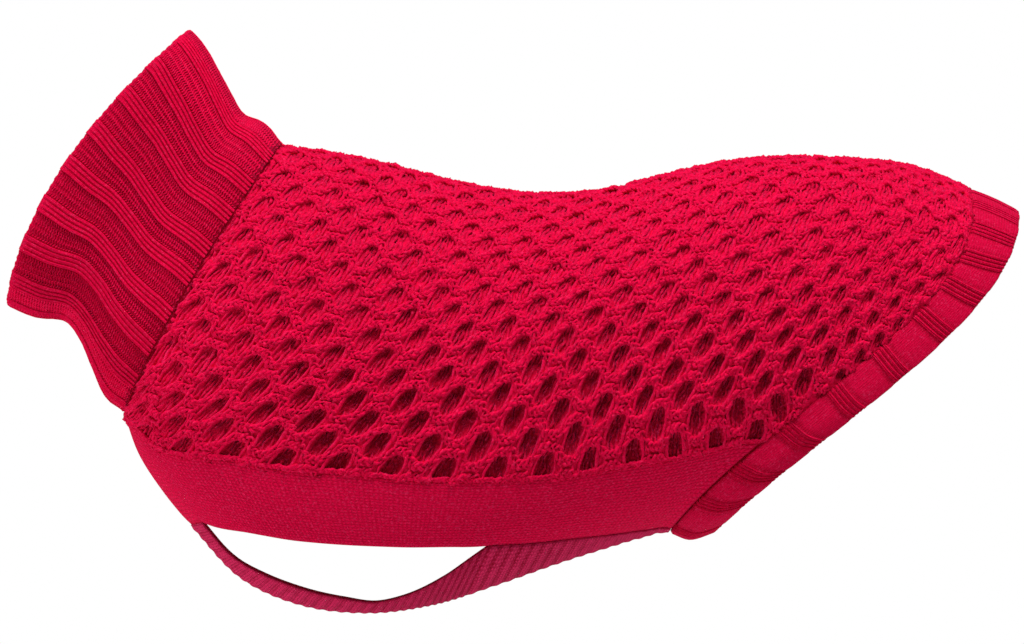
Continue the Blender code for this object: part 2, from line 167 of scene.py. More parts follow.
class Tube:
    """A tube lofted through leaning rings. u is 0 to 1 along it. g is the share of the girth, 0 at the
    spine, 0.5 at the belly and 1 back at the spine. It runs down the +Y side first."""

    def __init__(self, rings):
        self.rows = np.array(rings, float)
        back_steps = np.linalg.norm(np.diff(self.rows[:, 0:2], axis=0), axis=1)
        belly_steps = np.linalg.norm(np.diff(self.rows[:, 2:4], axis=0), axis=1)
        self.knots = distances(back_steps + belly_steps)
        self.knots /= self.knots[-1]
        self.outwards = 1 if self.rows[-1, 0] > self.rows[0, 0] else -1
        self.ring_places = np.linspace(0, 1, RING_SAMPLES)
        self.shares = np.linspace(0, 1, GIRTH_SAMPLES)
        sweep = np.linspace(0, 2 * math.pi, GIRTH_SAMPLES)
        outline = self.at_angle(self.ring_places[:, None], sweep)
        passed = np.cumsum(np.linalg.norm(np.diff(outline, axis=1), axis=-1), axis=1)
        self.girths = passed[:, -1]
        passed = np.concatenate([np.zeros((RING_SAMPLES, 1)), passed], axis=1) / self.girths[:, None]
        self.angles = np.array([np.interp(self.shares, row, sweep) for row in passed])

    def ring(self, u):
        values = hermite(self.knots, self.rows, np.asarray(u, float))
        return dict(zip(RING_COLUMNS, np.moveaxis(values, -1, 0)))

    @staticmethod
    def side_view(ring, high):
        """The x and z of a ring's point. high is 1 at the back and -1 at the belly."""
        drop = (1 - high) / 2
        bend = (1 - high**2) * (ring["bow"] + ring["skew"] * high)
        x = ring["back_x"] + (ring["belly_x"] - ring["back_x"]) * drop + bend
        return x, ring["back_z"] + (ring["belly_z"] - ring["back_z"]) * drop

    def at_angle(self, u, angle):
        """The point at a ring's own angle: 0 is the spine, pi the belly."""
        ring = self.ring(u)
        square = ring["square"]
        high = (np.cos(angle) - square * np.cos(3 * angle)) / (1 - square)
        wide = (np.sin(angle) + square * np.sin(3 * angle)) / (1 - square)
        x, z = self.side_view(ring, high)
        return np.stack([x, ring["half_width"] * wide, z], axis=-1)

    def angle(self, u, g):
        """The ring angle at a share of the girth, read between the sampled rings."""
        u, g = np.broadcast_arrays(np.asarray(u, float), np.mod(np.asarray(g, float), 1.0))
        row, column = u * (RING_SAMPLES - 1), g * (GIRTH_SAMPLES - 1)
        i = np.clip(row.astype(int), 0, RING_SAMPLES - 2)
        j = np.clip(column.astype(int), 0, GIRTH_SAMPLES - 2)
        s, t = row - i, column - j
        near = self.angles[i, j] * (1 - t) + self.angles[i, j + 1] * t
        far = self.angles[i + 1, j] * (1 - t) + self.angles[i + 1, j + 1] * t
        return near * (1 - s) + far * s

    def point(self, u, g):
        return self.at_angle(u, self.angle(u, g))

    def normal(self, u, g):
        """The outward unit normal."""
        angle = self.angle(u, g)
        low, high = (np.clip(np.asarray(u, float) + step, 0, 1) for step in (-SLOPE_STEP, SLOPE_STEP))
        along = self.at_angle(high, angle) - self.at_angle(low, angle)
        around = self.at_angle(u, angle + SLOPE_STEP) - self.at_angle(u, angle - SLOPE_STEP)
        return unit(np.cross(along, around) * self.outwards)

    def raised(self, u, g, height):
        """The points at u and g, raised off the tube by a height in millimetres. A number serves them all."""
        u, height = u + 0 * g, np.asarray(height) + 0 * g
        return self.point(u, g) + self.normal(u, g) * height[..., None]

    def girth(self, u):
        return float(np.interp(u, self.ring_places, self.girths))

    def from_side(self, x, z):
        """The u and g of the point on the +Y side that side view shows at x, z."""
        low, high = 0.0, 1.0
        for _ in range(HALVINGS):
            u = (low + high) / 2
            ring = self.ring(u)
            drop = np.clip((ring["back_z"] - z) / (ring["back_z"] - ring["belly_z"]), 0.0, 1.0)
            side_x, _ = self.side_view(ring, 1 - 2 * drop)
            low, high = (u, high) if side_x < x else (low, u)
        shares = np.linspace(0, 0.5, GIRTH_SAMPLES)
        return u, float(np.interp(-z, -self.point(u, shares)[:, 2], shares))

    def belly_at(self, x):
        """The u where the belly line reaches x."""
        return float(np.interp(x, self.ring(self.ring_places)["belly_x"], self.ring_places))


BODY = Tube(BODY_RINGS)
NECK = Tube(COLLAR_RINGS)
HEM_U = float(BODY.knots[HEM_RING])
print(f"girth at the hem seam {BODY.girth(HEM_U):.0f} mm, at the collar seam {NECK.girth(0):.0f} mm")

# %% [markdown]
# ## Seams
# The panels meet at seams, and the leg openings are edges of the same kind. A maker draws them on the form
# in side view, so each one is a short list of side-view points. They could be cut into the mesh with a
# knife, but turned into places on the tube they become the edges of grids, and two panels that share a seam
# meet on exactly the same line.

# %% Seams and edges on the flank, as side-view points x, z from the chest to the hem
BAND_TOP = (
    (-200.3, -111.8), (-188.1, -122.1), (-163.6, -126.0), (-137.3, -129.9), (-88.4, -134.3), (-63.0, -136.7),
    (-22.0, -137.2), (7.3, -135.7), (41.5, -129.9), (75.7, -124.0), (96.2, -117.7),
)
LEG_FRONT = (-167.6, -158.2)
LEG_REAR = (-26.9, -169.4)
BAND_UNDER_LEG = ((-144.1, -163.1), (-119.7, -167.0), (-95.3, -168.9), (-70.8, -169.9), (-46.4, -169.9))
BAND_BEHIND_LEG = ((-2.4, -168.0), (26.9, -165.0), (46.4, -162.6))
STRAP_EDGE = (
    (-156.8, -170.9), (-137.3, -183.6), (-117.7, -190.9), (-98.2, -195.3),
    (-83.0, -197.3), (-68.9, -194.4), (-49.3, -185.1), (-36.6, -176.3),
)
STRAP_START_X = -173.5
BELLY_END_HALF_WIDTH = 15.0


# %% Seams as places on the tube
def spaced(curve, count):
    """count + 1 places at even distances along a curve of u, g places on the body."""
    curve = np.array(curve, float)
    knots = distances(np.linalg.norm(np.diff(BODY.point(curve[:, 0], curve[:, 1]), axis=0), axis=1))
    return hermite(knots, curve, np.linspace(0, knots[-1], count + 1))


def on_body(side_points):
    return [BODY.from_side(*point) for point in side_points]


def strap_row(edge_u, middle_u, share):
    """u across a row of the belly panel: middle_u at the belly line, edge_u at share 1, a parabola."""
    return edge_u + (middle_u - edge_u) * (1 - share**2)


band_top = np.array([(0.0, 0.5)] + on_body(BAND_TOP))
band_top[-1, 0] = HEM_U
leg_front, leg_rear = on_body((LEG_FRONT, LEG_REAR))
strap_start_u = BODY.belly_at(STRAP_START_X)
belly_end = (HEM_U, 0.5 - BELLY_END_HALF_WIDTH / BODY.girth(HEM_U))
behind_leg = [leg_rear] + on_body(BAND_BEHIND_LEG) + [belly_end]
print(f"the leg opening runs from u {leg_front[0]:.2f} to {leg_rear[0]:.2f}")

# %% [markdown]
# ## Cloth from grids
# A knitted panel is a thin wall: an outer face, an inner face and a rim. Solidify could thicken a sheet, but
# the outer face carries pits and ribs while the inner face stays plain, so both are built as grids and
# joined round the rim. The outer face also carries a UV map in the knit's own units. That map is what lets
# the yarn find its place later.

# %% Meshes from grids
UV_MAP = "knit"


def grid_faces(rows, columns, start=0, ring=False, flip=False):
    """The quads of a grid of points, as rows of corner numbers. ring joins the last column to the first."""
    number = start + np.arange(rows * columns).reshape(rows, columns)
    if ring:
        number = np.concatenate([number, number[:, :1]], axis=1)
    corners = np.stack([number[:-1, :-1], number[1:, :-1], number[1:, 1:], number[:-1, 1:]], axis=-1)
    corners = corners.reshape(-1, 4)
    return corners[:, ::-1] if flip else corners


def in_scene(name, data):
    """An object made from a mesh, a light or a camera, and put into the scene."""
    made = bpy.data.objects.new(name, data)
    bpy.context.scene.collection.objects.link(made)
    return made


def point_values(mesh, name, values):
    """Stores one number on every point of a mesh, for the nodes and the materials to read."""
    attribute = mesh.attributes.new(name, "FLOAT", "POINT")
    attribute.data.foreach_set("value", values.astype(np.float32).ravel())


def new_object(name, points, faces, uv, material=None, sunk=None):
    """A smooth mesh object from points in millimetres, with its knit map. The shade depth says how deep in
    the knit each point lies, from 0 to 1, for the painted shade of the wool there."""
    mesh = bpy.data.meshes.new(name)
    mesh.from_pydata((np.reshape(points, (-1, 3)) * MM).tolist(), [], [list(face) for face in faces])
    layer = mesh.uv_layers.new(name=UV_MAP)
    corner = np.zeros(len(mesh.loops), np.int32)
    mesh.loops.foreach_get("vertex_index", corner)
    layer.data.foreach_set("uv", np.reshape(uv, (-1, 2))[corner].astype(np.float32).ravel())
    if sunk is not None:
        point_values(mesh, "sunk", sunk)
    if material is not None:
        mesh.materials.append(material)
    mesh.shade_smooth()
    return in_scene(name, mesh)


def count_triangles(piece):
    return sum(len(p.vertices) - 2 for p in piece.data.polygons)


# %% Thin walls between two grids
def rim(number):
    """The four edges of a grid of corner numbers, in order round it."""
    return number[0], number[:, -1], number[-1, ::-1], number[::-1, 0]


def thin_wall(name, outside, inside, uv, material, stride=1, sunk=None):
    """A closed wall between two grids of points. The inner face keeps every stride-th row and column, and a
    rim joins the two all round."""
    rows, columns = outside.shape[:2]
    inside, inner_uv = inside[::stride, ::stride], uv[::stride, ::stride]
    outer_number = np.arange(rows * columns).reshape(rows, columns)
    inner_number = rows * columns + np.arange(inside[..., 0].size).reshape(inside.shape[:2])
    faces = grid_faces(rows, columns).tolist()
    faces += grid_faces(*inside.shape[:2], start=rows * columns, flip=True).tolist()
    for outer_edge, inner_edge in zip(rim(outer_number), rim(inner_number)):
        for i in range(len(inner_edge) - 1):
            fine = outer_edge[i * stride:(i + 1) * stride + 1]
            faces.append([*fine.tolist(), int(inner_edge[i + 1]), int(inner_edge[i])])
    points = np.concatenate([outside.reshape(-1, 3), inside.reshape(-1, 3)])
    both_uv = np.concatenate([uv.reshape(-1, 2), inner_uv.reshape(-1, 2)])
    if sunk is not None:
        sunk = np.concatenate([sunk.ravel(), np.zeros(inside[..., 0].size)])
    wall = new_object(name, points, faces, both_uv, material, sunk)
    print(f"{name}: {count_triangles(wall)} triangles")
    return wall


# %% [markdown]
# ## Node helpers
# Both geometry and shader trees are built in the script. One small helper adds a node, sets its options and
# links or fills its inputs, so that a tree reads like a recipe.

# %% Helpers for node trees
def fill_inputs(tree, node, inputs):
    """An input given as a socket is linked, and any other value is set on the socket."""
    for key, value in inputs.items():
        if isinstance(value, bpy.types.NodeSocket):
            tree.links.new(value, node.inputs[key])
        else:
            node.inputs[key].default_value = value


def add_node(tree, kind, inputs=None, **settings):
    node = tree.nodes.new(kind)
    for key, value in settings.items():
        setattr(node, key, value)
    fill_inputs(tree, node, inputs or {})
    return node


def math_node(tree, operation, first, second=0.0):
    return add_node(tree, "ShaderNodeMath", {0: first, 1: second}, operation=operation).outputs[0]


def departure(tree, value, usual, strength):
    """How far a value is from its usual one, times a strength."""
    return math_node(tree, "MULTIPLY", math_node(tree, "SUBTRACT", value, usual), strength)


def vector_node(tree, operation, first, second):
    inputs = {0: first, "Scale" if operation == "SCALE" else 1: second}
    return add_node(tree, "ShaderNodeVectorMath", inputs, operation=operation).outputs["Vector"]


def noise(tree, place, scale, detail, more=None, **settings):
    inputs = {"Vector": place, "Scale": scale, "Detail": detail, **(more or {})}
    return add_node(tree, "ShaderNodeTexNoise", inputs, **settings).outputs


# %% [markdown]
# ## Wool
# The yarn is a soft matte wool blend in crimson. Up close it has three scales: slow drifts of shade from the
# dye, the twist of its plies, and fine fibre. The twist runs along each strand, so it reads two values that
# the yarn tree stores on the mesh: the distance along the strand and the share of the way round it. Where
# the knit is too fine to be worth a strand for each stitch, a shader pattern on the knit map draws the
# stitches, and the light falls on them as if they were raised.
# The colour also carries painted shade, darker between the stitches and deep in the knit.

# %% The colours
CRIMSON = (0.85, 0.002, 0.06, 1.0)
DEEP_CRIMSON = (0.56, 0.001, 0.03, 1.0)
# WINE, the darkest stop, is reached mostly where painted shade darkens the wool deep in the knit
WINE = (0.28, 0.0, 0.011, 1.0)
# The belly's rose is the crimson made pinker: painted bounce light from the pale floor below
BOUNCE_LIT_ROSE = (0.76, 0.024, 0.115, 1.0)
BOUNCE_LIT_DEEP_ROSE = (0.44, 0.008, 0.05, 1.0)
# Painted glints: the light pink of stray fibres catching the light
STRAY_GLINT = (0.95, 0.04, 0.17, 1.0)
SHEEN_TINT = (1.0, 0.05, 0.24, 1.0)

# %% The stitches of a plain knit, as a shader pattern
STITCH_LONG, STITCH_WIDE = 0.0023, 0.0014
STITCH_WANDER, STITCH_LEAN, STITCH_SWELL, WALE_ROUNDNESS = 0.6, 0.45, 0.4, 3.0


def knit_pattern(tree, wander):
    """Rows of small V stitches on the knit map, which is in metres there: 1 on a stitch, 0 between them."""
    place = add_node(tree, "ShaderNodeUVMap", uv_map=UV_MAP).outputs[0]
    place = vector_node(tree, "ADD", place, vector_node(tree, "SCALE", wander, STITCH_WANDER * STITCH_LONG))
    parts = add_node(tree, "ShaderNodeSeparateXYZ", {0: place}).outputs
    wale = math_node(tree, "FRACT", math_node(tree, "DIVIDE", parts["Y"], STITCH_WIDE))
    edge = math_node(tree, "ABSOLUTE", math_node(tree, "SUBTRACT", wale, 0.5))
    edge = math_node(tree, "MULTIPLY", edge, 2.0)
    stitch = math_node(tree, "DIVIDE", parts["X"], STITCH_LONG)
    stitch = math_node(tree, "ADD", stitch, math_node(tree, "MULTIPLY", edge, STITCH_LEAN))
    swell = math_node(tree, "COSINE", math_node(tree, "MULTIPLY", stitch, 2 * math.pi))
    swell = math_node(tree, "ADD", math_node(tree, "MULTIPLY", swell, STITCH_SWELL), 1 - STITCH_SWELL)
    between = math_node(tree, "SUBTRACT", 1.0, math_node(tree, "POWER", edge, WALE_ROUNDNESS))
    return math_node(tree, "MULTIPLY", swell, between)


# %% The twist of the plies
PLIES = 2


def ply_twist(tree, ply):
    """The wave that the plies make along and round a strand. ply is the length of one twist."""
    along, around = (add_node(tree, "ShaderNodeAttribute", attribute_name=word).outputs["Fac"]
                     for word in ("along", "around"))
    turn = math_node(tree, "ADD", math_node(tree, "DIVIDE", along, ply), around)
    return math_node(tree, "SINE", math_node(tree, "MULTIPLY", turn, 2 * PLIES * math.pi))


# %% The shade and the colour of the wool
# SHADE_FROM_STITCH and SHADE_FROM_DEPTH are painted shade: darker between the stitches and deeper in the knit
MEAN_SHADE, SHADE_FROM_FIBRE, SHADE_FROM_STITCH, SHADE_FROM_DEPTH = 0.4, 0.45, 0.5, 0.6
DARK_SHADE, LIGHT_SHADE = 0.4, 0.7
# Painted glints of stray fibres, lighter flecks spread at random
GLINT_SCALE, GLINT_FROM, GLINT_TO, GLINT_STRENGTH = 850.0, 0.55, 0.75, 0.4


def wool_shade(tree, slow, fibre, stitch, drift):
    """How light the wool is, about 0 to 1, with painted shade in it: lighter on the stitches, darker
    between them, and darkest where the depth attribute on the mesh says the wool lies deep in the knit."""
    shade = math_node(tree, "ADD", math_node(tree, "MULTIPLY", fibre, SHADE_FROM_FIBRE),
                      math_node(tree, "ADD", departure(tree, slow, 0.5, drift), MEAN_SHADE))
    if stitch is not None:
        shade = math_node(tree, "ADD", shade, departure(tree, stitch, 0.5, SHADE_FROM_STITCH))
    sunk = add_node(tree, "ShaderNodeAttribute", attribute_name="sunk").outputs["Fac"]
    sunk = math_node(tree, "MULTIPLY", math_node(tree, "MULTIPLY", sunk, sunk), SHADE_FROM_DEPTH)
    return math_node(tree, "SUBTRACT", shade, sunk)


def wool_colour(tree, place, shade, colour, dark):
    """The colour of a shade, from wine through dark to the full colour, with painted glints of stray fibres.
    """
    shades = add_node(tree, "ShaderNodeValToRGB", {"Fac": shade})
    stops = shades.color_ramp.elements
    stops[0].position, stops[1].position = DARK_SHADE, LIGHT_SHADE
    stops[0].color, stops[1].color = dark, colour
    stops.new(0.0).color = WINE
    glints = add_node(tree, "ShaderNodeMapRange", {
        "Value": noise(tree, place, GLINT_SCALE, 1.0)["Fac"],
        "From Min": GLINT_FROM, "From Max": GLINT_TO, "To Max": GLINT_STRENGTH})
    inputs = {"Factor": glints.outputs[0], "A": shades.outputs["Color"], "B": STRAY_GLINT}
    return add_node(tree, "ShaderNodeMix", inputs, data_type="RGBA").outputs["Result"]


# %% Wool materials
ROUGHNESS, SPECULAR, SHEEN_ROUGHNESS = 0.82, 0.03, 0.45
DRIFT_SCALE, ROSE_DRIFT_SCALE, DRIFT_DETAIL = 520.0, 140.0, 3.0
FIBRE_SCALE, FIBRE_DETAIL = 2600.0, 2.0
FIBRE_RELIEF, TWIST_RELIEF, RELIEF_DEPTH = 0.6, 0.35, 0.0004


def wool(name, colour, dark, sheen, ply=None, bump=0.35, stitches=False, drift_scale=DRIFT_SCALE, drift=1.0):
    """A wool material. dark is the shade that the colour drifts to. Yarn is given a ply, and cloth whose
    stitches aren't modelled is given stitches."""
    material = bpy.data.materials.new(name)
    material.use_nodes = True
    tree = material.node_tree
    place = add_node(tree, "ShaderNodeTexCoord").outputs["Object"]
    slow = noise(tree, place, drift_scale, DRIFT_DETAIL)
    fibre = noise(tree, place, FIBRE_SCALE, FIBRE_DETAIL)["Fac"]
    stitch = knit_pattern(tree, slow["Color"]) if stitches else None
    height = math_node(tree, "MULTIPLY", fibre, FIBRE_RELIEF)
    if stitches:
        height = math_node(tree, "ADD", height, stitch)
    if ply is not None:
        twist = math_node(tree, "MULTIPLY", ply_twist(tree, ply), TWIST_RELIEF)
        height = math_node(tree, "ADD", height, twist)
    raised = add_node(tree, "ShaderNodeBump", {"Height": height, "Strength": bump, "Distance": RELIEF_DEPTH})
    shade = wool_shade(tree, slow["Fac"], fibre, stitch, drift)
    fill_inputs(tree, tree.nodes["Principled BSDF"], {
        "Base Color": wool_colour(tree, place, shade, colour, dark), "Normal": raised.outputs["Normal"],
        "Roughness": ROUGHNESS, "Specular IOR Level": SPECULAR,
        "Sheen Weight": sheen, "Sheen Roughness": SHEEN_ROUGHNESS, "Sheen Tint": SHEEN_TINT})
    return material


yarn_wool = wool("soft_crimson_yarn", CRIMSON, DEEP_CRIMSON, sheen=0.4, ply=0.0035)
back_wool = wool("crimson_ground", CRIMSON, DEEP_CRIMSON, sheen=0.1)
rib_wool = wool("crimson_rib", CRIMSON, DEEP_CRIMSON, sheen=0.12, ply=0.0032, drift=0.5)
rib_ground = wool("crimson_purl", CRIMSON, DEEP_CRIMSON, sheen=0.2, bump=0.7, stitches=True, drift=0.4)
plain_wool = wool("crimson_plain_knit", CRIMSON, DEEP_CRIMSON, sheen=0.2, bump=1.0, stitches=True, drift=0.3)
# The belly and strap wool, made pinker with painted bounce light from the floor
bounce_lit_rose_wool = wool("bounce_lit_rose_ridge_knit", BOUNCE_LIT_ROSE, BOUNCE_LIT_DEEP_ROSE, sheen=0.3, bump=1.0, stitches=True, drift=0.4,
                 drift_scale=ROSE_DRIFT_SCALE)
print("materials:", [m.name for m in bpy.data.materials if m.use_nodes])

# %% [markdown]
# ## Yarn on cloth
# Knitting repeats: a few strands make one repeat, and the repeat fills the panel. Geometry Nodes suit that
# well. The tree below takes one repeat as flat edges, copies it over a grid, welds the copies, and then
# bends the whole flat knitting onto the cloth. For each flat point it samples the cloth's surface where the
# cloth's UV map holds the same coordinates, and lifts the point along the normal by its height. Curve to
# Mesh then gives every strand its thickness. The same tree knits every panel of the sweater.

# %% Helpers for the yarn tree
def step(tree, kind, geometry, inputs=None, **settings):
    """Adds a node that takes a geometry at its first input and hands one on."""
    return add_node(tree, kind, {0: geometry, **(inputs or {})}, **settings).outputs[0]


def stored(tree, geometry, name, value):
    inputs = {"Name": name, "Value": value}
    return step(tree, "GeometryNodeStoreNamedAttribute", geometry, inputs, domain="POINT")


def read(tree, name, data_type="FLOAT"):
    return add_node(tree, "GeometryNodeInputNamedAttribute", {"Name": name}, data_type=data_type).outputs[0]


def position(tree):
    return add_node(tree, "GeometryNodeInputPosition").outputs[0]


def from_cloth(tree, cloth, field, place, data_type="FLOAT_VECTOR"):
    """What a field of the cloth is where the cloth's knit map holds the flat place."""
    inputs = {"Mesh": cloth, "Value": field, "UV Map": read(tree, UV_MAP, "FLOAT_VECTOR"), "Sample UV": place}
    return add_node(tree, "GeometryNodeSampleUVSurface", inputs, data_type=data_type).outputs


# %% The flat knitting
WELD = 1e-5


def flat_knitting(tree, given):
    """The repeat on every point of a grid, joined where copies meet."""
    wide, tall = (math_node(tree, "MULTIPLY", given[size], math_node(tree, "SUBTRACT", given[number], 1.0))
                  for size, number in (("Repeat Width", "Columns"), ("Repeat Height", "Rows")))
    grid = add_node(tree, "GeometryNodeMeshGrid", {
        "Size X": wide, "Size Y": tall, "Vertices X": given["Columns"], "Vertices Y": given["Rows"]})
    corner = add_node(tree, "ShaderNodeCombineXYZ", {
        "X": math_node(tree, "MULTIPLY", wide, 0.5), "Y": math_node(tree, "MULTIPLY", tall, 0.5)})
    moved = step(tree, "GeometryNodeTransform", grid.outputs["Mesh"], {"Translation": corner.outputs[0]})
    copies = step(tree, "GeometryNodeInstanceOnPoints", moved, {"Instance": given["Geometry"]})
    flat = step(tree, "GeometryNodeRealizeInstances", copies)
    return step(tree, "GeometryNodeMergeByDistance", flat, {"Distance": WELD})


# %% From flat onto the cloth
UNEVEN_SCALE, UNEVEN_DETAIL, UNEVEN_ROUGHNESS = 170.0, 4.0, 0.75


def worn_on_cloth(tree, given, flat):
    """The flat knitting bent onto the cloth. What falls off the cloth's knit map is cut away."""
    cloth = add_node(tree, "GeometryNodeObjectInfo", {"Object": given["Cloth"]}).outputs["Geometry"]
    place = position(tree)
    point = from_cloth(tree, cloth, place, place)
    normal = from_cloth(tree, cloth, add_node(tree, "GeometryNodeInputNormal").outputs[0], place)["Value"]
    # The cloth's shade depth goes on to the yarn, for its painted shade and its fullness
    depth = from_cloth(tree, cloth, read(tree, "sunk"), place, "FLOAT")["Value"]
    height = add_node(tree, "ShaderNodeSeparateXYZ", {0: place}).outputs["Z"]
    bent = vector_node(tree, "ADD", point["Value"], vector_node(tree, "SCALE", normal, height))
    off = add_node(tree, "FunctionNodeBooleanMath", {0: point["Is Valid"]}, operation="NOT").outputs[0]
    kept = step(tree, "GeometryNodeDeleteGeometry", flat, {"Selection": off})
    return step(tree, "GeometryNodeSetPosition", stored(tree, kept, "sunk", depth), {"Position": bent})


def unevened(tree, given, worn):
    """Every point moved a little off its even place, as no two stitches are pulled alike."""
    shift = noise(tree, position(tree), UNEVEN_SCALE, UNEVEN_DETAIL,
                  {"W": given["Seed"], "Roughness": UNEVEN_ROUGHNESS}, noise_dimensions="4D")["Color"]
    shift = vector_node(tree, "SUBTRACT", shift, (0.5, 0.5, 0.5))
    shift = vector_node(tree, "SCALE", shift, given["Unevenness"])
    return step(tree, "GeometryNodeSetPosition", worn, {"Offset": shift})


# %% From strands to yarn
SLUB_SCALE, SLUB_MEAN, FULL_ABOVE = 420.0, 0.45, 0.7


def spun(tree, given, worn):
    """The yarn: a round section along each strand. Its length and way round are kept for the material. Slubs
    make it thicker and thinner, and Fullness makes it fuller near the surface than deep in the knit."""
    along = add_node(tree, "GeometryNodeSplineParameter").outputs["Length"]
    strands = stored(tree, step(tree, "GeometryNodeMeshToCurve", worn), "along", along)
    circle = {"Resolution": given["Sides"], "Radius": 1.0}
    section = add_node(tree, "GeometryNodeCurvePrimitiveCircle", circle).outputs[0]
    around = add_node(tree, "GeometryNodeSplineParameter").outputs["Factor"]
    section = stored(tree, section, "around", around)
    slub = noise(tree, position(tree), SLUB_SCALE, 1.0)["Fac"]
    slub = departure(tree, slub, SLUB_MEAN, given["Slubs"])
    full = departure(tree, FULL_ABOVE, read(tree, "sunk"), given["Fullness"])
    swelling = math_node(tree, "ADD", math_node(tree, "ADD", slub, full), 1.0)
    thick = math_node(tree, "MULTIPLY", read(tree, "thickness"), swelling)
    yarn = step(tree, "GeometryNodeCurveToMesh", strands,
                {"Profile Curve": section, "Scale": thick, "Fill Caps": True})
    yarn = step(tree, "GeometryNodeSetShadeSmooth", yarn)
    yarn = step(tree, "GeometryNodeRealizeInstances", yarn)
    return step(tree, "GeometryNodeSetMaterial", yarn, {"Material": given["Wool"]})


# %% The tree that knits
KNITTING_INPUTS = {
    "Geometry": "Geometry", "Cloth": "Object", "Repeat Width": "Float", "Repeat Height": "Float",
    "Columns": "Int", "Rows": "Int", "Sides": "Int", "Unevenness": "Float", "Slubs": "Float",
    "Fullness": "Float", "Seed": "Float", "Wool": "Material",
}


def make_knitting_tree():
    tree = bpy.data.node_groups.new("knit_on_cloth", "GeometryNodeTree")
    for label, kind in KNITTING_INPUTS.items():
        tree.interface.new_socket(label, in_out="INPUT", socket_type="NodeSocket" + kind)
    tree.interface.new_socket("Geometry", in_out="OUTPUT", socket_type="NodeSocketGeometry")
    given = add_node(tree, "NodeGroupInput").outputs
    worn = worn_on_cloth(tree, given, flat_knitting(tree, given))
    add_node(tree, "NodeGroupOutput", {"Geometry": spun(tree, given, unevened(tree, given, worn))})
    return tree


knitting = make_knitting_tree()
print("knitting tree:", len(knitting.nodes), "nodes")


# %% Running the tree
def knit(name, strands, cloth, material, **inputs):
    """A mesh piece from flat strands, each a list of x, y, height and radius rows. x and y are on the cloth's
    UV map, height and radius in metres."""
    points = np.concatenate(strands)
    lengths = [len(strand) for strand in strands]
    ends = np.cumsum(lengths)
    edges = np.concatenate([pairs(np.arange(first, end - 1), np.arange(first + 1, end))
                            for first, end in zip(ends - lengths, ends)])
    mesh = bpy.data.meshes.new(name + "_repeat")
    mesh.from_pydata(points[:, :3].tolist(), edges.tolist(), [])
    point_values(mesh, "thickness", points[:, 3])
    flat = in_scene(name + "_repeat", mesh)
    modifier = flat.modifiers.new("knit", "NODES")
    modifier.node_group = knitting
    values = {"Cloth": cloth, "Wool": material, **inputs}
    for item in knitting.interface.items_tree:
        if item.in_out == "INPUT" and item.name in values:
            modifier[item.identifier] = values[item.name]
    bpy.context.view_layer.update()
    evaluated = flat.evaluated_get(bpy.context.evaluated_depsgraph_get())
    yarn = bpy.data.meshes.new_from_object(evaluated)
    yarn.name = name
    bpy.data.objects.remove(flat)
    piece = in_scene(name, yarn)
    print(f"{name}: {count_triangles(piece)} triangles")
    return piece


# %% [markdown]
# ## The honeycomb panel
# Honeycomb is a tuck stitch. Some stitches are held for several rows while the rest are knitted, and when
# they are knitted off at last they pull the rows together. The rows then swing up and down round deep oval
# pits, and the held loops fan across each pit. The pits sit on a lattice: columns half a pitch apart, every
# other one shifted by a row. So the cloth's UV map counts columns and rows of that lattice, and one repeat
# is two columns by two rows. An even lattice would look machined: real knit is pulled out of true by the
# body in it, so a table says how far each part of the panel is drawn off its even place.

# %% The lattice on the panel
COLUMN_PLACES = (
    (-16, 0.0), (-14, 0.059), (-12, 0.117), (-10, 0.176), (-8, 0.235), (-6, 0.297), (-4, 0.357), (-2, 0.416),
    (0, 0.477), (2, 0.539), (4, 0.597), (6, 0.65), (8, 0.698), (10, 0.744), (12, 0.787), (14, 0.824),
    (16, 0.855), (18, 0.88), (22, 0.93), (24, 0.955),
)
FRONT_COLUMN_STEP = 0.0295
ROW_STEP, ROW_GROWTH = 0.0329, 0.001176
COLUMN_SPREAD, SPREAD_FROM_ROW, SPREAD_TO_ROW = 0.0045, 9, 17
LAST_ROW, PAST_LAST_ROW = 18.35, 0.2
FIRST_COLUMN, UV_SPAN = -20.0, 64.0
ROW_SAMPLES, COLUMN_SAMPLES = 801, 401
JUST_UNDER = 0.001

# How far the knit is pulled off that even lattice: a line for each column, a value at each of the rows. On
# the body the rows climb towards the rump, and beside the band the columns open out.
SHIFT_COLUMNS = (-14, -10, -6, -2, 2, 6, 10, 14, 18)
ROW_SHIFT_ROWS = (0, 4, 9, 12, 14, 16, 18.35)
ROW_SHIFTS = (
    (0, 1.5, 1.3, 0.9, 0.6, 0.6, 0.3), (0, 1.5, 1.5, 1.3, 0.95, 0.6, 0.0), (0, 1.1, 1.05, 1.1, 0.9, 0.6, 0.0),
    (0, 0.8, 0.35, 0.1, 0.2, 0.2, 0.0), (0, 0.7, 0.15, -0.25, -0.2, -0.1, 0.0),
    (0, 0.3, 0.35, -0.1, -0.25, -0.25, 0.0), (0, -0.3, -0.2, -0.4, -0.48, -0.45, 0.0),
    (0, -0.75, -0.75, -0.85, -0.9, -0.6, 0.0), (0, -0.6, -0.65, -1.0, -1.1, -0.6, 0.0),
)
COLUMN_SHIFT_ROWS = (0, 12, 14, 16, 17, 18.35)
COLUMN_SHIFTS = (
    (0, 0.1, 0.4, 1.1, 1.1, 0.7), (0, 0.15, 0.3, 0.35, 0.25, 0.0), (0, 0.2, 0.2, 0.15, 0.05, -0.15),
    (0, -0.15, 0.0, -0.05, -0.05, -0.15), (0, -0.35, -0.25, -0.2, -0.05, 0.1),
    (0, -0.12, -0.2, -0.15, -0.08, 0.6), (0, 0.05, -0.05, -0.15, 0.24, 1.5), (0, 0.1, 0.05, 0.3, 0.8, 2.2),
    (0, 0.3, 0.8, 1.2, 1.6, 2.6),
)


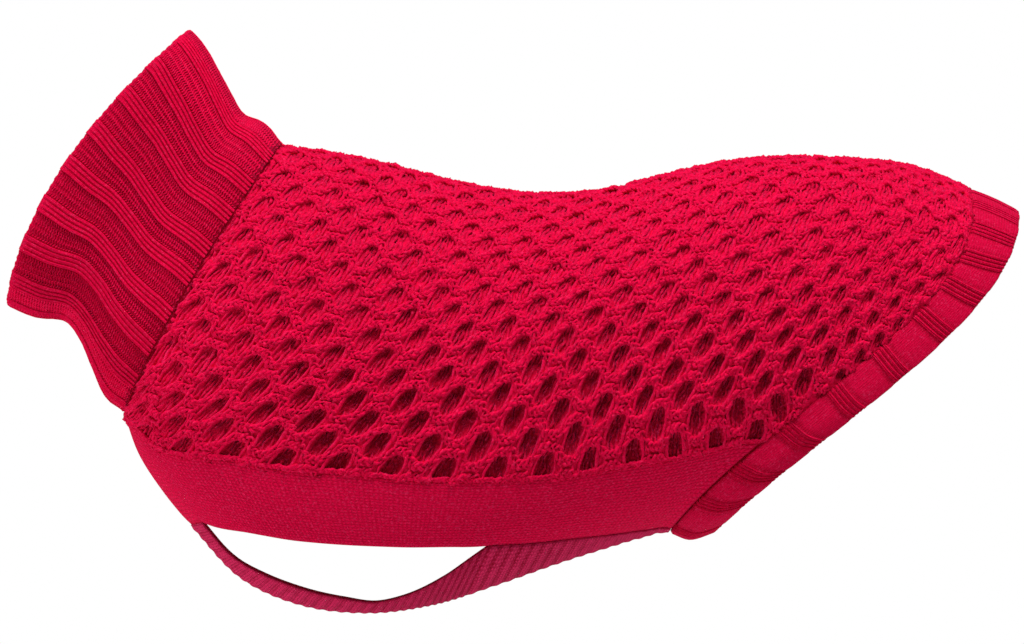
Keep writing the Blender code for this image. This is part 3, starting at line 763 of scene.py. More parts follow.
def table_value(rows, table, column, row):
    """A shift table read at each place, with straight lines between its values."""
    at_row = [np.interp(np.abs(row), rows, line) for line in table]
    last = len(SHIFT_COLUMNS) - 1
    place = np.clip(np.interp(column, SHIFT_COLUMNS, np.arange(last + 1)), 0, last - JUST_UNDER)
    low = place.astype(int)
    low_value = np.choose(low, at_row)
    return low_value + (np.choose(low + 1, at_row) - low_value) * (place - low)


def row_share(row):
    """How far down from the spine to the band a row is: the rows open out lower down."""
    return np.sign(row) * (ROW_STEP * np.abs(row) + ROW_GROWTH * row**2)


def lattice_of(u, share):
    """The lattice column and row of each place of a grid. share runs from -1 to 1 across the panel."""
    rows = np.linspace(-LAST_ROW - PAST_LAST_ROW, LAST_ROW + PAST_LAST_ROW, ROW_SAMPLES)
    row = np.interp(share, row_share(rows), rows)
    columns, places = np.array(COLUMN_PLACES).T
    fine = np.linspace(columns[0] - 2, columns[-1], COLUMN_SAMPLES)
    spread = ramp(np.abs(row), SPREAD_FROM_ROW, SPREAD_TO_ROW) ** 2 * COLUMN_SPREAD
    place = hermite(columns, places[:, None], fine)[:, 0]
    in_front = fine < columns[0]
    place[in_front] = (fine[in_front] - columns[0]) * FRONT_COLUMN_STEP
    column = np.empty_like(row)
    for line in range(row.shape[1]):
        column[:, line] = np.interp(u[:, line], place + spread[:, line].mean() * fine, fine)
    row_shift = table_value(ROW_SHIFT_ROWS, ROW_SHIFTS, column, row)
    column_shift = table_value(COLUMN_SHIFT_ROWS, COLUMN_SHIFTS, column, row)
    return column - column_shift, row - np.sign(row) * row_shift


def lattice_uv(column, row):
    return np.stack([(column - FIRST_COLUMN) / UV_SPAN, (row + UV_SPAN / 2) / UV_SPAN], axis=-1)


# %% [markdown]
# ## The cloth behind the yarn
# Through the gaps between strands one sees more knit, not daylight. A plain dark sheet would do from afar,
# but its pits have to be where the yarn's pits are. So the ground is pressed into the same lattice: level
# under the ridges, and an oval pit in each cell, deepest at its upper end and deeper low on the flank,
# where the cloth is stretched most.
# Its wool is painted darker by depth: painted shade in the pits, and under the collar and the hem.

# %% The relief of the ground
SWING, STEEPNESS = 0.29, 1.8
LATTICE_PHASE = 12.5
PIT_HALF_WIDTH, PIT_HALF_HEIGHT = 0.46, 0.74
PIT_RIM, PIT_WALL = 1.1, 0.5
GROUND, PIT_TOP, PIT_FOOT = -1.3, -4.6, -2.6
SHALLOW_ROW, DEEP_ROW = 9.0, 15.5
SHALLOW_COLUMN, DEEP_COLUMN = -15.0, -7.0
SHALLOW_TOP, SHALLOW_FOOT = 0.8, 0.25
FLOOR_CURVE = 0.8
FAR_FROM_PIT = 9.0


def ridge_row(family, column):
    """The row that a ridge runs along: over the top of one pit, steeply down its side, under the next."""
    wave = np.cos(math.pi * (column + family + LATTICE_PHASE))
    return family + SWING * np.tanh(STEEPNESS * wave) / math.tanh(STEEPNESS)


def nearest_pit(column, row):
    """How far the nearest pit's middle is, in pit sizes, and how far below that middle a place lies."""
    nearest, lean = np.full(row.shape, FAR_FROM_PIT), np.zeros(row.shape)
    for column_step in (-1, 0, 1):
        for row_step in (-1, 0, 1, 2):
            centre_x, centre_y = np.round(column) + column_step, np.floor(row) + row_step
            is_pit = np.mod(centre_x + centre_y + LATTICE_PHASE + 0.5, 2) == 0
            below = (row - centre_y) / PIT_HALF_HEIGHT
            away = np.hypot((column - centre_x) / PIT_HALF_WIDTH, below)
            closer = is_pit & (away < nearest)
            nearest, lean = np.where(closer, away, nearest), np.where(closer, below, lean)
    return nearest, lean


def relief(column, row):
    """Height of the ground cloth in millimetres, at lattice columns and at rows counted from the spine."""
    nearest, lean = nearest_pit(column, row)
    opening = np.clip((PIT_RIM - nearest) / PIT_WALL, 0, 1)
    stretch = ramp(row, SHALLOW_ROW, DEEP_ROW) * ramp(column, SHALLOW_COLUMN, DEEP_COLUMN)
    highest = PIT_TOP * (SHALLOW_TOP + (1 - SHALLOW_TOP) * stretch)
    lowest = PIT_FOOT * (SHALLOW_FOOT + (1 - SHALLOW_FOOT) * stretch)
    floor_height = highest + (lowest - highest) * np.clip(lean / 2 + 0.5, 0, 1) ** FLOOR_CURVE
    return GROUND + (floor_height - GROUND) * opening**2 * (3 - 2 * opening)


# %% The places of the panel, and the height of its ground
PANEL_ROWS, PANEL_COLUMNS = 180, 200
FLAT_AT_NECK, FULL_FROM_NECK = 0.35, 7.0
# Painted shade in the ground is full at DARK_DEPTH millimetres below its level
DARK_DEPTH = 2.2

top = spaced(band_top, PANEL_ROWS)
panel_share = np.linspace(-1, 1, PANEL_COLUMNS + 1)
panel_u = np.repeat(top[:, :1], len(panel_share), axis=1)
panel_g = top[:, 1:] * panel_share
panel = BODY.point(panel_u, panel_g)
column, row = lattice_of(panel_u, np.broadcast_to(panel_share, panel_u.shape))
lattice = pairs(column, np.abs(row))
from_neck = np.linalg.norm(panel - panel[:1], axis=-1)
ground = relief(column, np.abs(row))
ground = GROUND + (ground - GROUND) * np.clip(from_neck / FULL_FROM_NECK, FLAT_AT_NECK, 1)
print(f"ground from {ground.min():.1f} to {ground.max():.1f} mm off the tube")

# %% The honeycomb cloth, tucked under the collar and the hem
CLOTH_BACK = -5.2
KNOBS, KNOB_SEED = 0.35, 3
TUCK, UNDER_COLLAR_FACE, UNDER_HEM_FACE = 0.03, -3.2, -2.2
BACK_STRIDE = 5

knobs = KNOBS * np.random.default_rng(KNOB_SEED).uniform(-1, 1, ground.shape)
face = BODY.raised(panel_u, panel_g, ground + knobs)
back = BODY.raised(panel_u, panel_g, CLOTH_BACK)
face[0] = NECK.raised(TUCK, panel_g[0], UNDER_COLLAR_FACE)
back[0] = NECK.raised(TUCK, panel_g[0], CLOTH_BACK)
face[-1] = BODY.raised(HEM_U + TUCK / 2, panel_g[-1], UNDER_HEM_FACE)
# Painted shade: darker the deeper the ground lies, and full on the rows tucked under the collar and the hem
sunk = np.clip((GROUND - ground) / DARK_DEPTH, 0, 1)
sunk[0] = sunk[1] = sunk[-1] = 1
honeycomb = thin_wall("honeycomb_cloth", face, back, lattice_uv(column, row), back_wool, BACK_STRIDE, sunk)

# %% [markdown]
# ## Guides for the yarn
# The yarn needs a surface to be bent onto, and the knobbly ground isn't a good one: the ridges lie on top
# of the panel, and only the floats follow the pits. So each kind of yarn has its own smooth guide, which is
# removed once the yarn is there. At the seams real yarn runs on into the seam allowance. A guide therefore
# has one more row on every open side, a little way under the collar, the hem and the band, and no strand
# ends in plain view.

# %% Guides that run on under the bands
HIDDEN_REACH = 3.0
UNDER_COLLAR, UNDER_HEM, UNDER_BAND = 4.4, 2.1, 1.8
GUIDE_ENDS = ((0, 1), (-1, -2))


def run_on(grid, base, tips):
    """Adds a row at both ends of a guide, for the yarn that is hidden in the seams, and gives those rows full
    painted shade. grid is points, normals, lattice places and shade depths, base the tube's own face, and
    tips where the two new rows lie."""
    _, normals, places, sunk = grid
    ends = []
    for (edge, inner), tip in zip(GUIDE_ENDS, tips):
        length = np.linalg.norm(base[edge] - base[inner], axis=-1, keepdims=True)
        far = places[edge] + (places[edge] - places[inner]) / length * HIDDEN_REACH
        ends.append((tip, normals[edge], far, np.ones_like(sunk[edge])))
    first, last = ends
    return [np.concatenate([a[None], part, b[None]]) for a, part, b in zip(first, grid, last)]


def straight_on(base, normals, edge, inner, depth):
    """A row HIDDEN_REACH past the edge of the tube's face, and down inside it."""
    return base[edge] + unit(base[edge] - base[inner]) * HIDDEN_REACH - normals[edge] * depth


def turned(grid):
    """The same grid with its rows as columns."""
    return [part.swapaxes(0, 1) for part in grid]


def make_guides(word, heights, sunk, yarn_depth):
    """A guide for each side of the spine, at the given heights in millimetres off the tube. yarn_depth says
    how far under the guide its yarn lies."""
    normals = BODY.normal(panel_u, panel_g)
    points = panel + normals * heights[..., None]
    in_collar = NECK.raised(TUCK, panel_g[0], yarn_depth - UNDER_COLLAR)
    base = np.concatenate([in_collar[None], panel, panel[-1:]])
    middle = PANEL_COLUMNS // 2
    made = {}
    for side, kept, spine in (("left", slice(0, middle + 1), slice(0, -1)),
                              ("right", slice(middle, None), slice(1, None))):
        grid = [part[:, kept] for part in (points, normals, lattice, sunk)]
        in_hem = straight_on(panel[:, kept], grid[1], *GUIDE_ENDS[1], UNDER_HEM - yarn_depth)
        grid = turned(run_on(grid, panel[:, kept], (in_collar[kept], in_hem)))
        flank = base[:, kept].swapaxes(0, 1)
        tips = [straight_on(flank, grid[1], *ends, UNDER_BAND - yarn_depth) for ends in GUIDE_ENDS]
        place, _, knit_place, deep = [part[:, spine] for part in turned(run_on(grid, flank, tips))]
        faces, uv = grid_faces(*place.shape[:2]), lattice_uv(knit_place[..., 0], knit_place[..., 1])
        made[side] = new_object(f"{word}_{side}", place, faces, uv, sunk=deep)
    return made


# %% The two pairs of guides: one over the cloth, one that follows its pits
NECK_SEAM_DEPTH, SEAM_START, SEAM_FULL, SEAM_LEAST = 1.7, 0.1, 0.3, 0.2
OVER_RIDGES, UNDER_FLOATS = 0.9, -0.35

# The neck seam draws the knit in, most on the flanks, and the yarn there gets painted shade
drawn_in = np.zeros(row.shape)
drawn_in[0] = np.clip((np.abs(panel_share) - SEAM_START) / SEAM_FULL, SEAM_LEAST, 1)
pit_painted_shade_depth = np.clip((GROUND - ground) / DARK_DEPTH + drawn_in, 0, 1)
face_guides = make_guides("face_guide", -NECK_SEAM_DEPTH * drawn_in, drawn_in, OVER_RIDGES)
pit_guides = make_guides("pit_guide", ground, pit_painted_shade_depth, UNDER_FLOATS)
print("guides:", ", ".join(guide.name for guide in [*face_guides.values(), *pit_guides.values()]))

# %% [markdown]
# ## One repeat of honeycomb
# Each repeat has three kinds of yarn. The ridges are chains of knit stitches, and a chain seen from its face
# is a plait, so three strands plaited together give the leaning V of the stitches at little cost. The held
# stitches bow round each pit and close its oval. The floats cross the pit's floor. They could all be one
# piece, but three kinds can have their own thickness and unevenness, and each follows its own guide.

# %% The ridges
COLUMN_WIDTH, ROW_WIDTH = 10.5, 7.0
PLAIT_TURNS, PLAIT_STRANDS = 3, 3
PLAIT_AT_KNOT, PLAIT_AT_SIDE = 0.95, 1.3
PLAIT_LIFT, PLAIT_HEIGHT, KNOT_LIFT = 0.5, -0.85, 0.35
PLAIT_RADIUS = 0.0008
PLAIT_SAMPLES = 24
RIDGE_FAMILIES = (0.5, 1.5)
RIDGE_STEP = 0.01


def flat_strand(x, y, height, radius):
    """Lattice coordinates and a height in millimetres, as the rows that knit() takes."""
    x, y, height = np.broadcast_arrays(x, y, height)
    uv = lattice_uv(x + FIRST_COLUMN, y - UV_SPAN / 2)
    return np.column_stack([uv, height * MM, np.broadcast_to(radius, len(uv))])


def honeycomb_ridges():
    """The stitches of the ridges over one repeat. A ridge is broader down the sides of the pits than at the
    knots."""
    x = np.linspace(0, 2, PLAIT_SAMPLES + 1)
    strands = []
    for family in RIDGE_FAMILIES:
        knot = np.cos(math.pi * (x + family + LATTICE_PHASE)) ** 2
        y = ridge_row(family, x)
        rise = ridge_row(family, x + RIDGE_STEP) - ridge_row(family, x - RIDGE_STEP)
        slope = rise / (2 * RIDGE_STEP) * ROW_WIDTH / COLUMN_WIDTH
        sideways_x, sideways_y = np.stack([-slope, np.ones(len(x))]) / np.hypot(slope, 1)
        wide = PLAIT_AT_SIDE + (PLAIT_AT_KNOT - PLAIT_AT_SIDE) * knot
        for strand in range(PLAIT_STRANDS):
            turn = 2 * math.pi * (PLAIT_TURNS * x / 2 + strand / PLAIT_STRANDS)
            off = wide * np.sin(turn)
            height = PLAIT_HEIGHT + PLAIT_LIFT * np.sin(2 * turn) + KNOT_LIFT * knot
            strands.append(flat_strand(x + sideways_x * off / COLUMN_WIDTH, y + sideways_y * off / ROW_WIDTH,
                                       height, PLAIT_RADIUS))
    return strands


# %% The held stitches and the floats
CELL_CENTRES = ((0.0, 1.0), (1.0, 2.0))
# Held stitches: their place from the cell's middle, how far they bow out, and the height of their two ends
# and of their middle
WEBS = (
    (-0.7, 0.03, -1.2, -0.9), (-0.38, 0.14, -1.3, -0.9), (0.38, 0.14, -1.3, -0.9), (0.7, 0.03, -1.2, -0.9),
)
WEB_RADIUS, WEB_SAMPLES = 0.00075, 5
# Floats: their place at the lower ridge. They draw together on the way up.
PIT_FLOATS = (-0.24, 0.0, 0.24)
FLOAT_LIFT, FLOAT_WAVE, FLOAT_SWAY, FLOAT_WAVES, FLOAT_OFFSET = 0.35, 0.4, 0.035, 2.5, 1.6
FLOAT_TAPER, FLOAT_INSET, FLOAT_RADIUS, FLOAT_SAMPLES = 0.35, 0.02, 0.0007, 9


def ridge_reach(place):
    """How far above and below a cell's middle its ridges run, at a place beside the middle."""
    return ridge_row(RIDGE_FAMILIES[0], place + 1.0)


def honeycomb_webs():
    """The held stitches beside each pit. They bow round it and close the oval between the ridges."""
    s = np.linspace(0, 1, WEB_SAMPLES)
    arch = np.sin(math.pi * s)
    strands = []
    for centre_x, centre_y in CELL_CENTRES:
        for place, bow, ends, middle in WEBS:
            x = centre_x + place + math.copysign(bow, place) * (arch - 0.5)
            y = centre_y + ridge_reach(place) * (1 - 2 * s)
            strands.append(flat_strand(x, y, ends + (middle - ends) * arch, WEB_RADIUS))
    return strands


def honeycomb_floats():
    """The floats inside each pit. They run over its floor from the lower ridge to the upper one, in small
    waves, as loops of wool lie."""
    s = np.linspace(0, 1, FLOAT_SAMPLES)
    strands = []
    for centre_x, centre_y in CELL_CENTRES:
        for foot in PIT_FLOATS:
            wave = np.sin(2 * math.pi * (FLOAT_WAVES * s + FLOAT_OFFSET * foot))
            x = centre_x + foot * (1 - FLOAT_TAPER * s) + FLOAT_SWAY * wave
            y = centre_y + (ridge_reach(foot) - FLOAT_INSET) * (1 - 2 * s)
            strands.append(flat_strand(x, y, FLOAT_LIFT + FLOAT_WAVE * wave, FLOAT_RADIUS))
    return strands


# %% [markdown]
# ## The closing row
# Where the honeycomb meets the chest band, one more chain of stitches closes the pits that the seam cuts.
# It isn't a repeat, because it follows the seam and not the lattice. It is one long plait instead, laid in
# lattice coordinates along the panel's edge, and the same tree bends it onto the same guide.

# %% The row that knits the honeycomb onto the band
EDGE_INSET, EDGE_SPREAD, EDGE_WAVE, EDGE_STEP = 0.6, 0.9, 6.5, 0.7
EDGE_HEIGHT, EDGE_LIFT, EDGE_RADIUS = -0.95, 0.35, 0.0007


def edge_row(side):
    """Three strands plaited along the panel's lower edge, in lattice coordinates."""
    edge, inner = (0, 3) if side == "left" else (-1, -4)
    along = distances(np.linalg.norm(np.diff(panel[:, edge], axis=0), axis=-1))
    across = np.linalg.norm(panel[:, inner] - panel[:, edge], axis=-1, keepdims=True)
    inwards = (lattice[:, inner] - lattice[:, edge]) / across
    at = np.arange(0, along[-1], EDGE_STEP)
    start, inwards = (np.stack([np.interp(at, along, one) for one in values.T], axis=-1)
                      for values in (lattice[:, edge], inwards))
    strands = []
    for strand in range(PLAIT_STRANDS):
        turn = 2 * math.pi * (at / EDGE_WAVE + strand / PLAIT_STRANDS)
        place = start + inwards * (EDGE_INSET + EDGE_SPREAD * np.sin(turn))[:, None]
        height = (EDGE_HEIGHT + EDGE_LIFT * np.sin(2 * turn)) * MM
        strands.append(np.column_stack([lattice_uv(*place.T), height, EDGE_RADIUS + 0 * at]))
    return strands


# %% Knitting the honeycomb
REPEAT = {"Repeat Width": 2 / UV_SPAN, "Repeat Height": 2 / UV_SPAN, "Columns": 24, "Rows": 26}
ONCE = {"Columns": 1, "Rows": 1}

honeycomb_yarn = []
for number, side in enumerate(("left", "right")):
    over, inside = face_guides[side], pit_guides[side]
    for word, strands, guide, seed, inputs in (
        ("ridges", honeycomb_ridges(), over, 1.0, {"Sides": 4, "Unevenness": 0.0046, "Slubs": 2.6, **REPEAT}),
        ("webs", honeycomb_webs(), over, 3.0, {"Sides": 4, "Unevenness": 0.0048, "Slubs": 2.4, **REPEAT}),
        ("floats", honeycomb_floats(), inside, 5.0,
         {"Sides": 3, "Unevenness": 0.0052, "Slubs": 2.8, "Fullness": 0.9, **REPEAT}),
        ("edge", edge_row(side), over, 9.0, {"Sides": 4, "Unevenness": 0.004, "Slubs": 2.4, **ONCE}),
    ):
        honeycomb_yarn.append(
            knit(f"honeycomb_{word}_{side}", strands, guide, yarn_wool, Seed=seed + number, **inputs))
    bpy.data.objects.remove(over)
    bpy.data.objects.remove(inside)

# %% [markdown]
# ## Rib bands
# The collar and the hem are knitted in the same rib: four raised wales, then a wider valley of purl. Both
# are rings round the tube, so one function builds them. It takes the rib, and a profile: how the wall runs
# from its seam, over its edge and back inside. An array of one rib would be quicker, but the ribs lean and
# crowd together where the cloth bends, so a few given places say where each one runs.

# %% The two ribs
class Rib(NamedTuple):
    """A rib pattern. Heights are in millimetres off the face of the band."""

    count: int  # ribs round the band
    centre: float  # the middle of the first rib, in repeats from the spine
    half_rib: float  # half a rib, in repeats
    half_width: float  # half a rib, in millimetres
    crest: float  # the ground under the wales
    level: float  # the ground between the ribs
    crest_yarn: float  # the yarn of the wales
    at: tuple  # shares of the band's length, for the places
    places: tuple  # for some ribs, their number from the spine and their share of the girth at those lengths
    level_yarn: float = 0.0  # the yarn of the purl
    waves: int = 0  # the bars of purl between two ribs, or 0 where the purl is left to the material


COLLAR_RIB = Rib(
    count=20, centre=0.0, half_rib=0.21, half_width=4.2, crest=-0.8, level=-1.3, crest_yarn=-0.55,
    level_yarn=-1.15, waves=4, at=(0.1, 0.6, 0.95),
    places=(
        (0, 0.0, 0.0, 0.0), (1, 0.078, 0.07, 0.058), (2, 0.129, 0.129, 0.111), (3, 0.171, 0.174, 0.159),
        (4, 0.219, 0.228, 0.211), (5, 0.257, 0.27, 0.261), (6, 0.308, 0.32, 0.314), (7, 0.352, 0.361, 0.364),
        (8, 0.399, 0.41, 0.411), (10, 0.5, 0.5, 0.5),
    ),
)
HEM_RIB = Rib(
    count=24, centre=0.5, half_rib=0.2, half_width=4.5, crest=-0.85, level=-0.5, crest_yarn=-0.55,
    at=(0.0, 1.0),
    places=(
        (0.5, 0.015, 0.015), (1.5, 0.048, 0.046), (2.5, 0.081, 0.077), (3.5, 0.111, 0.105),
        (4.5, 0.139, 0.144), (5.5, 0.172, 0.187), (6.5, 0.218, 0.24), (7.5, 0.267, 0.289),
        (8.5, 0.32, 0.334), (9.5, 0.375, 0.379), (10.5, 0.421, 0.417), (11.5, 0.472, 0.471),
    ),
)
print(f"{COLLAR_RIB.count} ribs round the collar, {HEM_RIB.count} round the hem")

# %% The section of a rib
SHOULDER, SHOULDER_WIDTH = 0.85, 0.25
GROOVE_PLACE, GROOVE_WIDTH, GROOVE_DEPTH = 1.15, 0.25, 0.3
# Painted shade of a rib's ground: most in the groove beside the rib, less between its wales
GROOVE_SHADE, GROOVE_SHADE_WIDTH, SHADE_BETWEEN_WALES = 0.7, 0.2, 0.15


def off_rib(rib, repeat):
    """How far each place lies from the middle of its rib, in repeats."""
    return np.abs(np.mod(repeat - rib.centre + 0.5, 1.0) - 0.5)


def rib_height(rib, repeat):
    """The ground's section over one repeat: a level rib, a groove each side, flat purl."""
    off, half = off_rib(rib, repeat), rib.half_rib
    side = np.clip((off - SHOULDER * half) / (SHOULDER_WIDTH * half), 0, 1)
    valley = rib.level - GROOVE_DEPTH * bell(off, GROOVE_PLACE * half, GROOVE_WIDTH * half)
    return rib.crest * (1 - side) + valley * side


def rib_shade(rib, repeat):
    """How much painted shade the ground gets over one repeat: some between the wales, and most beside the
    rib.
    """
    off = off_rib(rib, repeat) / rib.half_rib
    beside = GROOVE_SHADE * bell(off, GROOVE_PLACE, GROOVE_SHADE_WIDTH)
    return np.clip(np.where(off < 1, SHADE_BETWEEN_WALES, 0.0) + beside, 0, 1)


def rib_share(rib, half_share, repeat, along):
    """The share of the girth where a repeat number from the spine lies, at shares of the band's length. The
    two sides mirror each other. A rib is always 2 * half_share of the girth wide, and the purl between takes
    up what is left."""
    places = np.array(rib.places)
    number, share = places[:, :1], places[:, 1:]
    number = np.concatenate([-number, number, rib.count - number, number - rib.count])[:, 0]
    share = np.concatenate([-share, share, 1 - share, share - 1])
    number, first = np.unique(number, return_index=True)
    knots = np.stack([number - rib.half_rib, number + rib.half_rib], axis=-1).ravel()
    shares = np.stack([share[first] - half_share, share[first] + half_share], axis=1).reshape(len(knots), -1)
    at_repeat = np.array([np.interp(repeat, knots, one) for one in shares.T])
    return hermite(np.array(rib.at), at_repeat, along)


# %% A ribbed ring of cloth
RIB_SAMPLES, RIB_FADE = 16, 3
RIB_GAUGE = 1.8
# Painted shade: YARN_SHADE passes the ground's shade on to the yarn, SEAM_SHADE darkens the rows at the seam
YARN_SHADE, SEAM_SHADE = 0.4, 0.9
FOLD_START, FOLD_SINK = 0.9, 0.45


def ring_profile(tube, start_u, shares, profile):
    """The bare wall of a ring: points and outward normals where a profile of rows sweeps round the tube.
    A profile row is a share of the length from the seam and a depth below the face."""
    u = start_u + (1.0 - start_u) * profile[:, :1] + 0 * shares
    points = tube.point(u, shares) - tube.normal(u, shares) * profile[:, 1:, None]
    along = np.gradient(points, axis=0)
    closed = np.concatenate([points[:, -2:-1], points, points[:, 1:2]], axis=1)
    around = np.gradient(closed, axis=1)[:, 1:-1]
    return points, unit(np.cross(along, around) * tube.outwards)


def lengthways(points):
    """How far each row of a grid lies along it, as a share of the whole, with the length in millimetres."""
    way = distances(np.linalg.norm(np.diff(points, axis=0), axis=-1).mean(axis=1))
    return way / way[-1], way[-1]


def ribbed_ring(name, tube, start_u, rib, profile, ribbed_rows):
    """A closed ring of cloth, and the smooth guide that its yarn is knitted on. The first ribbed_rows rows of
    the profile are ribbed. The cloth's own UV map is in metres, for its stitches."""
    profile = np.array(profile, float)
    inwards = tube.outwards < 0
    repeat = np.linspace(-rib.count / 2, rib.count / 2, rib.count * RIB_SAMPLES + 1)
    half_share = rib.half_width / tube.girth((start_u + 1.0) / 2)
    shares = rib_share(rib, half_share, repeat, profile[:, 0])
    points, normals = ring_profile(tube, start_u, shares, profile)
    # Painted shade over every row, carried on to the yarn through the guide
    shade = rib_shade(rib, repeat) * np.ones((len(points), 1))

    ribbed = slice(0, ribbed_rows)
    way, length = lengthways(points[ribbed])
    at_fold = ramp(profile[ribbed, :1], FOLD_START, 1)
    guide_grid = (points[ribbed] - normals[ribbed] * (FOLD_SINK * at_fold)[..., None])[:, ::2]
    guide_uv = pairs((repeat / rib.count + 0.5)[None, ::2], way[:, None])
    guide = new_object(name + "_guide", guide_grid, grid_faces(*guide_grid.shape[:2], flip=inwards), guide_uv,
                       sunk=YARN_SHADE * shade[ribbed, ::2])

    fade = np.zeros((len(points), 1))
    fade[ribbed, 0] = np.clip((ribbed_rows - np.arange(ribbed_rows)) / RIB_FADE, 0, 1)
    raised = (points + normals * (fade * rib_height(rib, repeat))[..., None])[:, :-1]
    faces = grid_faces(len(points) + 1, len(repeat) - 1, ring=True, flip=inwards)
    faces %= len(points) * (len(repeat) - 1)
    along, whole = lengthways(points)
    stitch_map = pairs((along * whole)[:, None], shares * tube.girth(start_u)) * (MM * RIB_GAUGE)
    # Painted shade on the rows at the seam
    shade[0] = shade[-1] = SEAM_SHADE
    cloth = new_object(name, raised, faces, stitch_map[:, :-1], rib_ground, shade[:, :-1])
    print(f"{name}: {count_triangles(cloth)} triangles, {length:.0f} mm of rib")
    return cloth, guide, length


# %% The yarn of a rib
COURSE = 1.3
WALE_STEP, WALE_ROWS = 3.4, (0.0, 0.5, 1.0)
PURL_RADIUS, PURL_SWING, PURL_LIFT = 0.00064, 0.33, 0.25
PURL_START = 2.1
RIB_SLUBS, WALE_UNEVENNESS, PURL_UNEVENNESS = 0.3, 0.0005, 0.0007
# The wales: their place in the rib, in wales, half the gap between their legs, the legs' radius and how much
# higher they lie than the others
WALES = ((-1.52, 0.14, 0.48, 0.05), (-0.5, 0.12, 0.42, 0.0), (0.5, 0.12, 0.42, 0.0), (1.52, 0.14, 0.48, 0.05))


def rib_wales(rib, length):
    """Two rows of one repeat's knit columns: each column is a pair of legs running with the ribs."""
    wale = rib.half_rib / 2
    y = np.array(WALE_ROWS) * WALE_STEP / length
    strands = []
    for place, gap, radius, lift in WALES:
        for leg in (-gap, gap):
            x = (rib.centre + (place + leg) * wale) / rib.count + 0 * y
            strands.append(np.column_stack([x, y, (rib.crest_yarn + lift + 0 * y) * MM, radius * MM + 0 * y]))
    return strands


def rib_purl(rib, length):
    """Two courses across the purl valley. They swing together, which stacks the little bars of purl
    stitches."""
    wale = rib.half_rib / 2
    s = np.linspace(0, 1, 3 * rib.waves)
    x = (rib.centre + PURL_START * wale + (1 - 2 * PURL_START * wale) * s) / rib.count
    wave = np.cos(2 * math.pi * rib.waves * s)
    lift = (rib.level_yarn + PURL_LIFT * np.cos(4 * math.pi * rib.waves * s)) * MM
    strands = []
    for course in (0, 1):
        y = (0.5 + course + PURL_SWING * wave) * COURSE / length
        strands.append(np.column_stack([x, y, lift, PURL_RADIUS + 0 * s]))
    return strands


def knit_rib(name, guide, rib, length, seed):
    """The yarn of a rib band: its wales, and its purl where that is coarse enough to stand out as yarn."""
    kinds = [("wales", rib_wales, WALE_STEP, WALE_UNEVENNESS)]
    if rib.waves:
        kinds.append(("purl", rib_purl, 2 * COURSE, PURL_UNEVENNESS))
    made = []
    for number, (word, strands, rise, unevenness) in enumerate(kinds):
        size = {"Repeat Width": 1 / rib.count, "Repeat Height": rise / length, "Columns": rib.count + 2,
                "Rows": int(length / rise)}
        made.append(knit(f"{name}_{word}", strands(rib, length), guide, rib_wool, Sides=3, Slubs=RIB_SLUBS,
                         Unevenness=unevenness, Seed=seed + number, **size))
    bpy.data.objects.remove(guide)
    return made


# %% Profiles: how the wall of a band runs
def face_rows(beside_seam, turn, count):
    """The rows of a band's face, as shares of its length: close together beside the seam, then even."""
    return np.concatenate([beside_seam[:-1], np.linspace(beside_seam[-1], turn, count)])


def seam_dip(along, dip, reach):
    """How far below its face a band lies beside its seam, where the stitching draws it in."""
    return dip * bell(along, 0, reach)


def turned_edge(start, depth, count):
    """The rounded end of a band, as profile rows: from its face, at a share of the length, to a depth."""
    return [(start + (1 - start) * math.sin(a), depth * (1 - math.cos(a)) / 2)
            for a in np.linspace(0, math.pi, count + 2)[1:-1]]


# %% [markdown]
# ## The collar
# The collar is one tube of rib, sewn to the neck and folded over on itself. From the seam the outer layer
# runs up to the fold, turns and comes back down as the stand, which is nearest the neck. Between them is a
# narrow gap. Folding a sheet in a cloth simulation would give chance creases. The profile gives the fold
# its true thickness and leaves the ribs where they belong.

# %% The collar's profile, its cloth and its yarn
COLLAR_RELIEF, COLLAR_LAYER, COLLAR_GAP, COLLAR_STAND = 1.9, 1.2, 0.4, 2.0
COLLAR_DIP, COLLAR_DIP_REACH = 2.4, 0.08
COLLAR_BESIDE_SEAM, COLLAR_ROWS = (0.0, 0.012, 0.026, 0.05), 19
COLLAR_TURN, COLLAR_TURN_ROWS = 0.97, 6
COLLAR_START_U = 0.002

layer_inside = COLLAR_RELIEF + COLLAR_LAYER
stand_outside = layer_inside + COLLAR_GAP
lengths = face_rows(COLLAR_BESIDE_SEAM, COLLAR_TURN, COLLAR_ROWS)
collar_profile = [(v, seam_dip(v, COLLAR_DIP, COLLAR_DIP_REACH)) for v in lengths]
collar_profile += turned_edge(COLLAR_TURN, stand_outside + COLLAR_STAND, COLLAR_TURN_ROWS)
ribbed_rows = len(collar_profile) + 1
# The layers that face inwards are plain, so they need fewer rows
collar_profile += [(v, stand_outside + COLLAR_STAND) for v in lengths[::-3]]
collar_profile += [(v, stand_outside) for v in lengths[:-1:4]]
collar_profile += [(v, layer_inside) for v in lengths[-2::-4]]
collar, collar_guide, collar_length = ribbed_ring(
    "collar_cloth", NECK, COLLAR_START_U, COLLAR_RIB, collar_profile, ribbed_rows)
collar_yarn = knit_rib("collar", collar_guide, COLLAR_RIB, collar_length, seed=5.0)

# %% [markdown]
# ## The hem
# The hem is a narrower band of the same rib, sewn on all round the back opening. Its wall is a single layer,
# so the profile only runs out to the edge, round it and back. Its purl is too fine to stand out as yarn, so
# the material of the ground draws those stitches.

# %% The hem's profile, its cloth and its yarn
HEM_WALL = 2.8
HEM_DIP, HEM_DIP_REACH = 1.5, 0.035
HEM_BESIDE_SEAM, HEM_ROWS = (0.0, 0.03, 0.07, 0.12), 11
HEM_TURN, HEM_TURN_ROWS = 0.94, 5
HEM_START_U = HEM_U + 0.002

